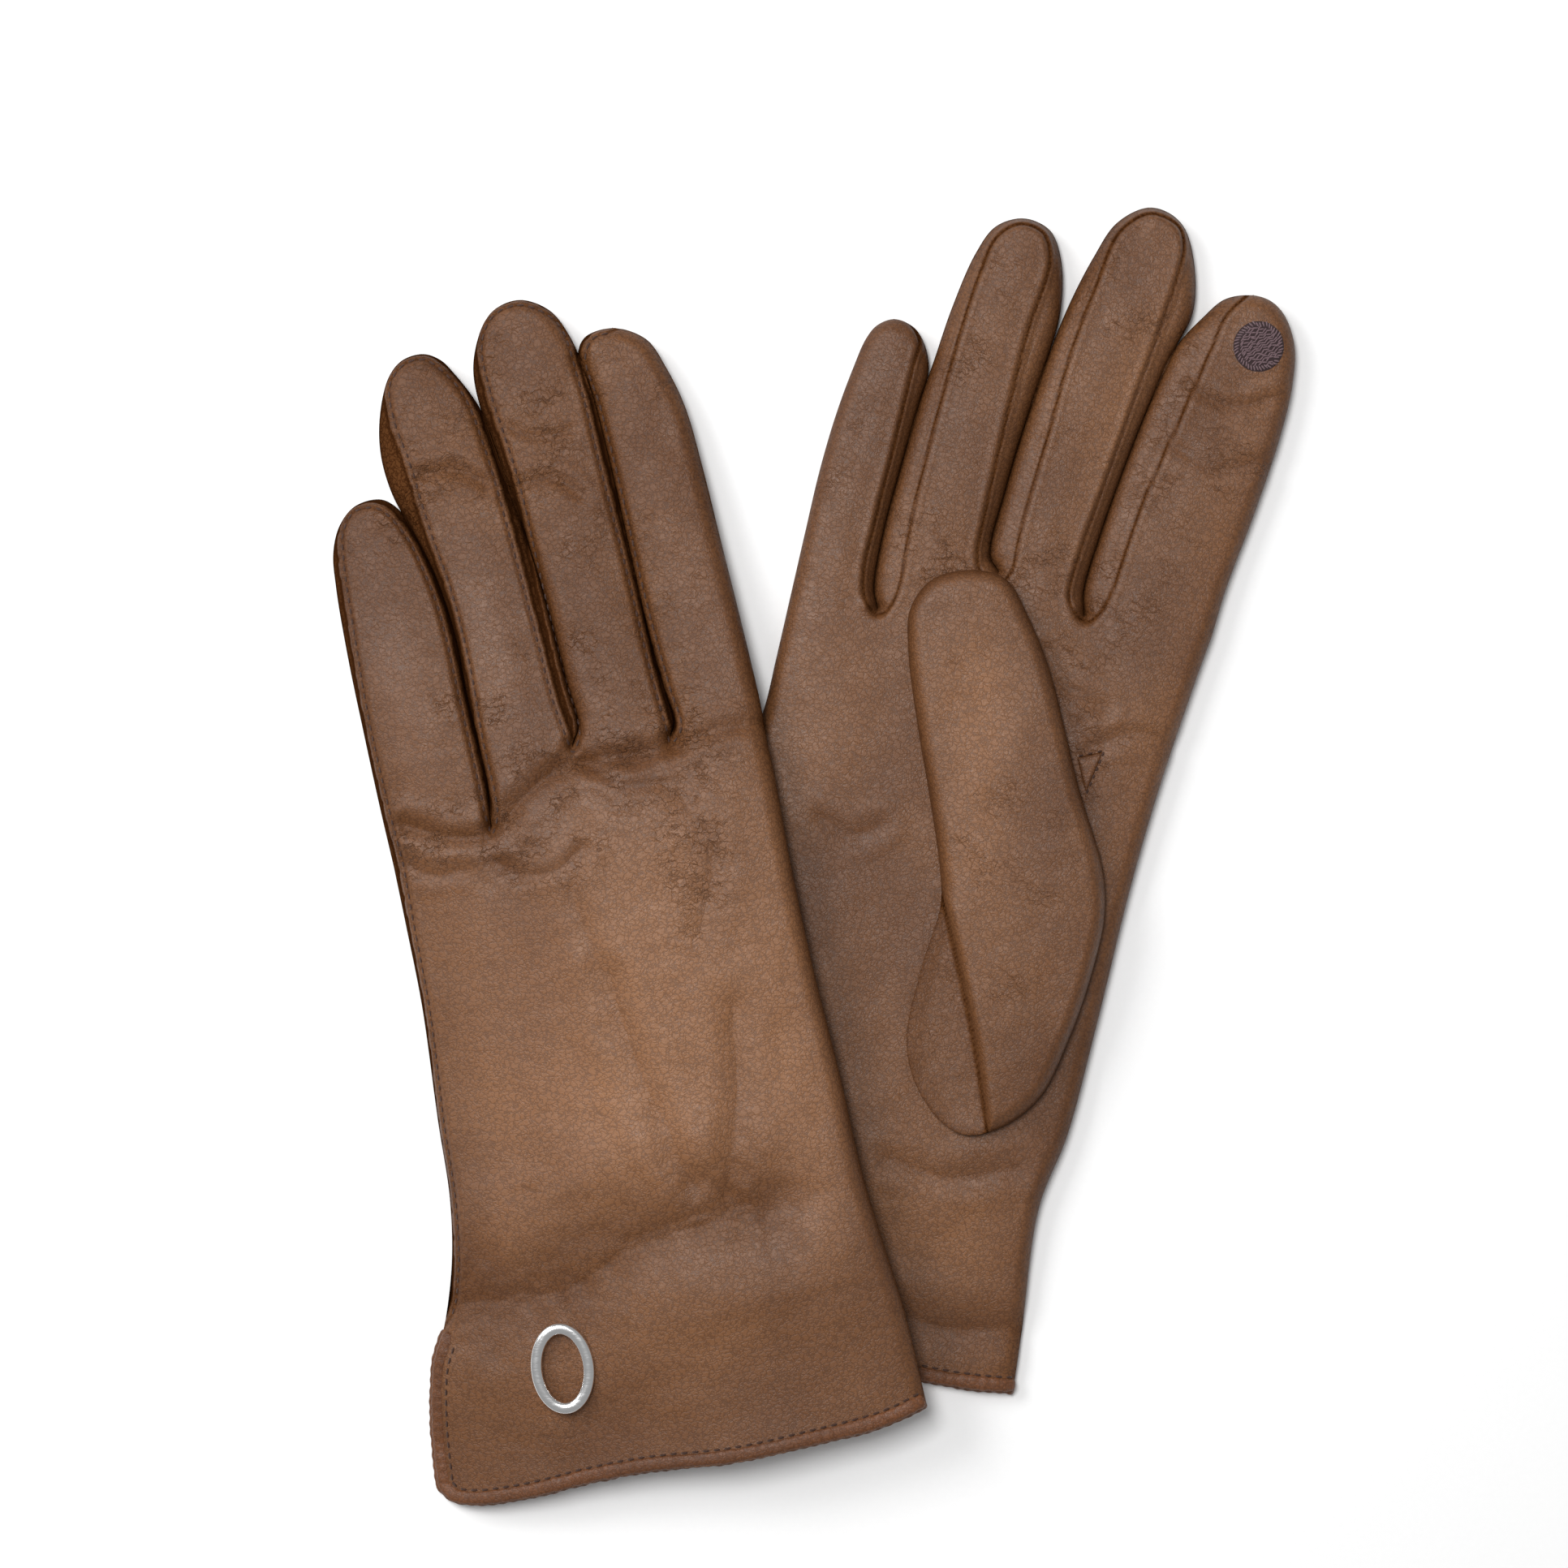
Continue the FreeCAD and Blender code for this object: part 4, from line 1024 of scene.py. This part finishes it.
# ---------------------------------------------------------------- thumbs

def thumb_grid(lines, rows, cols):
    """Rows from the sewn base to the tip of a thumb, closer together at both ends."""
    share = bunched(rows)
    a, b = along(lines[0], share), along(lines[1], share)
    k = bunched(cols)[None, :, None]
    return a[:, None, :] * (1 - k) + b[:, None, :] * k


def bulge(x):
    return np.sqrt(np.clip(1 - (1 - np.clip(x, 0, 1)) ** 2, 0, 1))


def right_thumb(xy):
    """Heights of the thumb lying on the palm: its upper layer ends at the fold and shows the lower one."""
    d, _, _ = RIGHT_THUMB_EDGE.near(xy)
    f, side, _ = RIGHT_THUMB_FOLD.near(xy)
    u, v = plan(RIGHT, xy)
    f = np.where(xy[:, 1] < -3.0, f, 99)
    under = smooth(-0.05, 0.35, -f * side) * (xy[:, 1] < -3.0)
    rise = np.minimum(bulge(d / 3.2), bulge(f / 2.2))
    along_it = smooth(-60, -30, xy[:, 1])
    high = 8.9 + (3.1 + 1.0 * along_it) * rise + 0.45 * (1 - np.exp(-d / 6)) - 0.3
    floor = 9.0 - 0.5 * smooth(0, 4, d) + 0.25 * hills(u / 6, v / 9, 71)
    edge = 8.9 - 0.3
    soft = 0.34 * hills(u / 13, v / 19, 72) + 0.10 * hills(u / 6, v / 5, 73)
    fine = 0.06 * noise(u / 5 + 0.7 * hills(u / 8, v / 8, 75), v / 1.8 + hills(u / 8, v / 8, 76), 74)
    top = high + bulge(d / 3) * (soft + fine) * (1 - under)
    top = top * (1 - under) + floor * under
    top = np.where(d < 0.02, edge, np.maximum(top, edge * (1 - bulge(d / 1.0)) + (8.2) * bulge(d / 1.0)))
    low = edge - 1.1 * bulge(d / 2.2)
    # Painted highlight down the middle of the upper layer.
    painted_sheen = 0.30 * np.exp(-((xy[:, 0] - 34) / 9) ** 2 - ((xy[:, 1] - 20) / 36) ** 2)
    # Painted shade along the fold where the upper layer ends and round the outline; the lower layer is a
    # touch lighter.
    dark = -0.02 * under - painted_sheen * (1 - under) + 0.5 * np.exp(-f / 0.5) * smooth(-0.3, 0.1, -f * side)
    dark = dark + 0.30 * np.exp(-d / 0.8)
    wrinkle = 0.25 + 0.4 * smooth(0.0, 0.5, hills(u / 12, v / 10, 77))
    return top, low, dark, wrinkle


def left_thumb(xy):
    """Heights of the thumb lying under its own palm."""
    d, _, _ = LEFT_THUMB_EDGE.near(xy)
    u, v = plan(LEFT, xy)
    roof = underside(LEFT, xy) - 0.35
    middle = roof - 1.1
    soft = 0.15 * hills(u / 9, v / 12, 82)
    top = middle + 1.05 * bulge(d / 2)
    low = middle - (1.15 + soft) * bulge(d / 2)
    # The third value is painted shade where the thumb rounds over at its outline.
    return top, np.maximum(low, 0.15), 0.3 * np.exp(-d / 0.8), np.full(len(xy), 0.3)


def thumb_knit(name, heights, lines):
    grid = thumb_grid(lines, 30, 12)[2:-2, 1:-1]
    top, low, _, _ = heights(grid.reshape(-1, 2))
    middle = (top + low) / 2
    upper, lower = np.minimum(np.maximum(top - 0.8, middle), low + 1.0), np.minimum(low + 0.6, middle)
    return two_sheets(name, grid, upper, lower, LINING)


def blend_thumb(piece, side):
    hinge = joint("right_thumb_unfold" if side == "right" else "left_thumb_droop")
    place, axis = np.array(hinge["pos_m"]), np.array(hinge["axis"])
    way = np.array([-axis[1], axis[0], 0.0])
    if way[1] < 0:
        way = -way
    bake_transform(piece)


def two_sides(left, right):
    """One smooth closed outline through both sides of a shape, given back as its two sides."""
    whole = curve([right[1]] + left + right[-2:0:-1] + left[:2])
    half = len(whole) // 2
    first = int(np.linalg.norm(whole[:half] - left[0], axis=1).argmin())
    top = int(np.linalg.norm(whole - left[-1], axis=1).argmin())
    last = half + int(np.linalg.norm(whole[half:] - left[0], axis=1).argmin())
    return whole[first:top + 1], np.vstack([whole[first:first + 1], whole[top:last][::-1]])


THUMB_SIDES = {"right": two_sides(*THUMB_R), "left": two_sides(*THUMB_L)}
RIGHT_THUMB_EDGE = Lines(list(THUMB_SIDES["right"]))
RIGHT_THUMB_FOLD = Lines([curve(THUMB_R_FOLD)])
LEFT_THUMB_EDGE = Lines(list(THUMB_SIDES["left"]))

for side, heights, before, after in (("right", right_thumb, 9, 9), ("left", left_thumb, 6, 14)):
    glove, lines = GLOVES[side], THUMB_SIDES[side]
    rows, cols = ((230, 96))
    piece = shell(f"{side}_thumb_shell", glove, heights, thumb_grid(lines, rows, cols), (60, 90), 1)
    blend_thumb(piece, side)
    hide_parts(f"{side}_thumb_leather", f"{side}_thumb_base")
    piece = thumb_knit(f"{side}_thumb_knit", heights, lines)
    blend_thumb(piece, side)
    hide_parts(f"{side}_thumb_lining")


# ---------------------------------------------------------------- gussets, patches, ornament and label

def triangle(name, corners, height, sign, material):
    """A small three-cornered leather piece sewn in over the surface, its edges rounded down."""
    a, b, c = (np.array(p, float) for p in corners)
    n = 14
    verts, index, faces = [], {}, []
    for i in range(n + 1):
        for j in range(n + 1 - i):
            k = n - i - j
            index[i, j] = len(verts)
            verts.append(np.append((a * i + b * j + c * k) / n, min(i, j, k) / n))
    verts = np.array(verts)
    z = height(verts[:, :2]) + sign * (0.45 * bulge(verts[:, 2] / 0.2) - 0.12)
    for i in range(n):
        for j in range(n - i):
            faces.append((index[i, j], index[i + 1, j], index[i, j + 1]))
            if i + j < n - 1:
                faces.append((index[i + 1, j], index[i + 1, j + 1], index[i, j + 1]))
    points = np.column_stack([verts[:, :2], z])
    # Painted shade along the piece's edges, and a touch lighter inside.
    rim = np.exp(-verts[:, 2] / 0.05)
    return make(name, points, faces, {"dye_and_painted_light": 0.7 * rim - 0.05, "wrinkle": 0 * z + 0.3}, material, weld=False)


def touch_patch(name, centre, height, sign):
    """A round embroidered patch: a ring of short stitches round rows of slanted ones."""
    rng = np.random.default_rng(5)
    cx, cy = centre
    rings, spokes = 9, 40
    xy, faces = [(cx, cy)], []
    for r in range(1, rings + 1):
        for s in range(spokes):
            a = 2 * math.pi * s / spokes
            reach = PATCH_RADIUS * r / rings
            xy.append((cx + reach * math.cos(a), cy + reach * math.sin(a)))
    for s in range(spokes):
        faces.append((0, 1 + s, 1 + (s + 1) % spokes))
        for r in range(rings - 1):
            p, q = 1 + r * spokes + s, 1 + r * spokes + (s + 1) % spokes
            faces.append((p, p + spokes, q + spokes, q))
    xy = np.array(xy)
    reach = np.linalg.norm(xy - [cx, cy], axis=1) / PATCH_RADIUS
    z = height(xy) + sign * 0.22 * bulge((1 - reach) / 0.12)
    base = make(name, np.column_stack([xy, z]), faces, {}, TOUCH_GROUND, weld=False)
    mids, ways = [], []
    for s in range(46):
        a = 2 * math.pi * s / 46
        r = PATCH_RADIUS - 0.62 + 0.16 * rng.normal()
        mids.append((cx + r * math.cos(a), cy + r * math.sin(a)))
        ways.append((math.cos(a + 0.5), math.sin(a + 0.5), 0))
    slant = math.radians(28)
    for row in np.arange(-3.9, 4.0, 0.52):
        half = math.sqrt(max(0, 4.0 ** 2 - row ** 2))
        place, flip = -half + 0.3 * rng.random(), 1
        while place < half - 0.3:
            x, y = place + 0.5, row + 0.12 * rng.normal()
            mids.append((cx + x * math.cos(slant) - y * math.sin(slant),
                         cy + x * math.sin(slant) + y * math.cos(slant)))
            lean = slant + flip * 0.42 + 0.1 * rng.normal()
            ways.append((math.cos(lean), math.sin(lean), 0))
            place += 0.88
            flip = -flip
    mids = np.array(mids)
    z = height(mids) + sign * 0.27
    threads = capsules(name + "_threads", np.column_stack([mids, z]), np.array(ways),
                       np.tile([0.0, 0.0, float(sign)], (len(mids), 1)), 1.15, 0.17, TOUCH)
    return base, threads


for side, sign in (("right", 1), ("left", -1)):
    glove = GLOVES[side]
    layer = 0 if sign > 0 else 1
    surface = lambda xy, g=glove, k=layer: relief(g, xy)[k]
    low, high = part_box(f"{side}_touch_patch")
    centre = ((low[0] + high[0]) / 2 / MM, (low[1] + high[1]) / 2 / MM)
    if side == "right":
        centre = PATCH
    for piece in touch_patch(f"{side}_patch", centre, surface, sign):
        blend_finger(piece, side, "index")
        if not piece.name.endswith("threads"):
            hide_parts(f"{side}_touch_patch")
    low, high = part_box(f"{side}_thumb_quirk")
    corners = GUSSET
    if side == "left":
        (x0, y0), (x1, y1) = (np.array(p[:2]) / MM for p in (low, high))
        corners = [(x0, y1 - 1), (x1, y1), (x1 - 1.5, y0)]
    piece = triangle(f"{side}_gusset", corners, surface, sign, STRIP)
    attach(piece, f"{side}_hand")
    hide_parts(f"{side}_thumb_quirk")
    if side == "right":
        a, b, c = (np.array(p) for p in GUSSET)
        rows = [seam_rods(evenly(np.array([p, q]), 12), surface, 1.5, 0.22) for p, q in ((a, b), (b, c))]
        mid, way, up = (np.vstack(k) for k in zip(*rows))
        piece = capsules("right_gusset_stitches", mid, way, up, 0.9, 0.2, THREAD)
        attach(piece, "right_hand")


def turned(points, angle):
    """Plan points turned about the origin, anticlockwise."""
    return points @ np.array([[math.cos(angle), math.sin(angle)], [-math.sin(angle), math.cos(angle)]])


def squared(angle, power):
    """Cosine and sine of an angle, flattened towards a rounded square."""
    pair = math.cos(angle), math.sin(angle)
    return [np.sign(c) * abs(c) ** power for c in pair]


def oval_ring(turn):
    """The polished ring: a flattened tube round an oval."""
    steps, sides = 120, 20
    a = np.linspace(0, 2 * math.pi, steps + 1)
    oval = turned(np.column_stack([RING_HALF_X * np.cos(a), RING_HALF_Y * np.sin(a)]), turn) + ORNAMENT
    seat = float(relief(LEFT, oval)[0].max()) - 0.15
    points, faces = [], []
    for i in range(steps):
        way = oval[(i + 1) % steps] - oval[i - 1]
        way = way / np.linalg.norm(way)
        out = np.array([way[1], -way[0]])
        for t in np.linspace(0, 2 * math.pi, sides, endpoint=False):
            w, h = squared(t, 0.8)
            points.append((*(oval[i] + out * (RING_TUBE_X * w)), seat + RING_TUBE_Z + RING_TUBE_Z * h))
    for i in range(steps):
        k = (i + 1) % steps
        for j in range(sides):
            m = (j + 1) % sides
            faces.append((i * sides + j, k * sides + j, k * sides + m, i * sides + m))
    return make("left_oval_ring", points, faces, {}, SILVER, weld=False)


def oval_backing(turn):
    """The thin plate under the leather that the ring is fixed to."""
    x, y = np.meshgrid(np.linspace(-1, 1, 9), np.linspace(-1, 1, 25), indexing="ij")
    grid = np.stack([1.9 * x * np.sqrt(1 - 0.12 * np.abs(y)), 7.6 * y], 2)
    plate = turned(grid.reshape(-1, 2), turn) + ORNAMENT
    inside = relief(LEFT, plate, detail=False)[0] - 1.6
    return two_sheets("left_oval_backing", plate.reshape(9, 25, 2), inside, inside - 0.5, STEEL)


def label_tape():
    """A blank woven label, lying inside the cuff with one end curled up a little."""
    low, high = (np.array(p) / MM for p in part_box("left_care_label"))
    x, y = np.meshgrid(np.linspace(0, 1, 15), np.linspace(0, 1, 19), indexing="ij")
    sheet = np.column_stack([(x.ravel() - 0.5) * 13.5, (y.ravel() - 0.5) * 19.5])
    tape = turned(sheet, math.radians(LEFT["lean"])) + ((low + high) / 2)[:2]
    curl = 0.25 * np.sin(3.0 * y.ravel()) + 0.9 * np.maximum(0, 0.35 - y.ravel()) ** 2 * 6
    z = relief(LEFT, tape, detail=False)[1] + 1.05 + curl
    points = np.column_stack([tape, z])
    return make("left_label_tape", points, grid_faces(15, 19).tolist(), {}, TAPE, weld=False)


ring_turn = math.radians(LEFT["lean"] - 4)
for piece, slot, node in ((oval_ring(ring_turn), "ornament_metal", "left_ornament_ring"),
                          (oval_backing(ring_turn), "backing_metal", "left_ornament_backing"),
                          (label_tape(), "label_cloth", "left_care_label")):
    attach(piece, "left_hand")
    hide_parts(node)


# ---------------------------------------------------------------- floor, light and camera

# Middle and width of the view on the floor, half the floor's side, and how far it lies under the gloves.
CENTRE = (-5.5, 14.7)
VIEW_WIDTH = 320.7
FLOOR_HALF = 900
FLOOR_DROP = 0.05
# Camera, with its height above the floor worked out from the view's width and the gloves' mean height.
LENS, SENSOR = 100, 36
MEAN_HEIGHT = 0.007


def area(name, place, aim, size, power):
    data = bpy.data.lights.new(name, "AREA")
    data.shape = "RECTANGLE"
    data.size, data.size_y = size
    data.energy = power
    obj = bpy.data.objects.new(name, data)
    bpy.context.scene.collection.objects.link(obj)
    obj.location = place
    obj.rotation_euler = (Vector(aim) - Vector(place)).to_track_quat("-Z", "Y").to_euler()
    return obj


def paper():
    n = Nodes("floor_paper")
    rest = n.attribute("rest", vector=True)
    fibre = n.noise(rest, 0.8, 4.0, 0.6)
    return n.surface(Base_Color=n.mix(fibre, (0.93, 0.93, 0.93, 1), (0.96, 0.96, 0.96, 1)), Roughness=0.9,
                     Specular_IOR_Level=0.1, Normal=n.bump(fibre, 0.05 * MM, 0.3))


steps = np.linspace(-FLOOR_HALF, FLOOR_HALF, 25)
gx, gy = np.meshgrid(steps, steps, indexing="ij")
points = np.stack([gx.ravel(), gy.ravel(), 0 * gx.ravel() - FLOOR_DROP], 1)
floor = make("floor", points, grid_faces(25, 25).tolist(), {}, paper(), weld=False)

scene = bpy.context.scene
scene.view_settings.view_transform = "Standard"
world = bpy.data.worlds.new("studio")
scene.world = world
world.use_nodes = True
world.node_tree.nodes["Background"].inputs["Color"].default_value = (1, 1, 1, 1)
world.node_tree.nodes["Background"].inputs["Strength"].default_value = 0.32
area("key", (-0.85, 0.55, 0.85), (-0.02, 0.0, 0), (0.6, 0.5), 8.0)
area("softbox", (-0.22, 0.30, 1.25), (0.0, 0.02, 0), (0.34, 0.46), 11.0)

camera = bpy.data.objects.new("camera", bpy.data.cameras.new("camera"))
scene.collection.objects.link(camera)
camera.data.lens = LENS
camera.data.sensor_width = SENSOR
camera.data.clip_end = 10
camera.location = (CENTRE[0] * MM, CENTRE[1] * MM, VIEW_WIDTH * MM * LENS / SENSOR + MEAN_HEIGHT)
scene.camera = camera
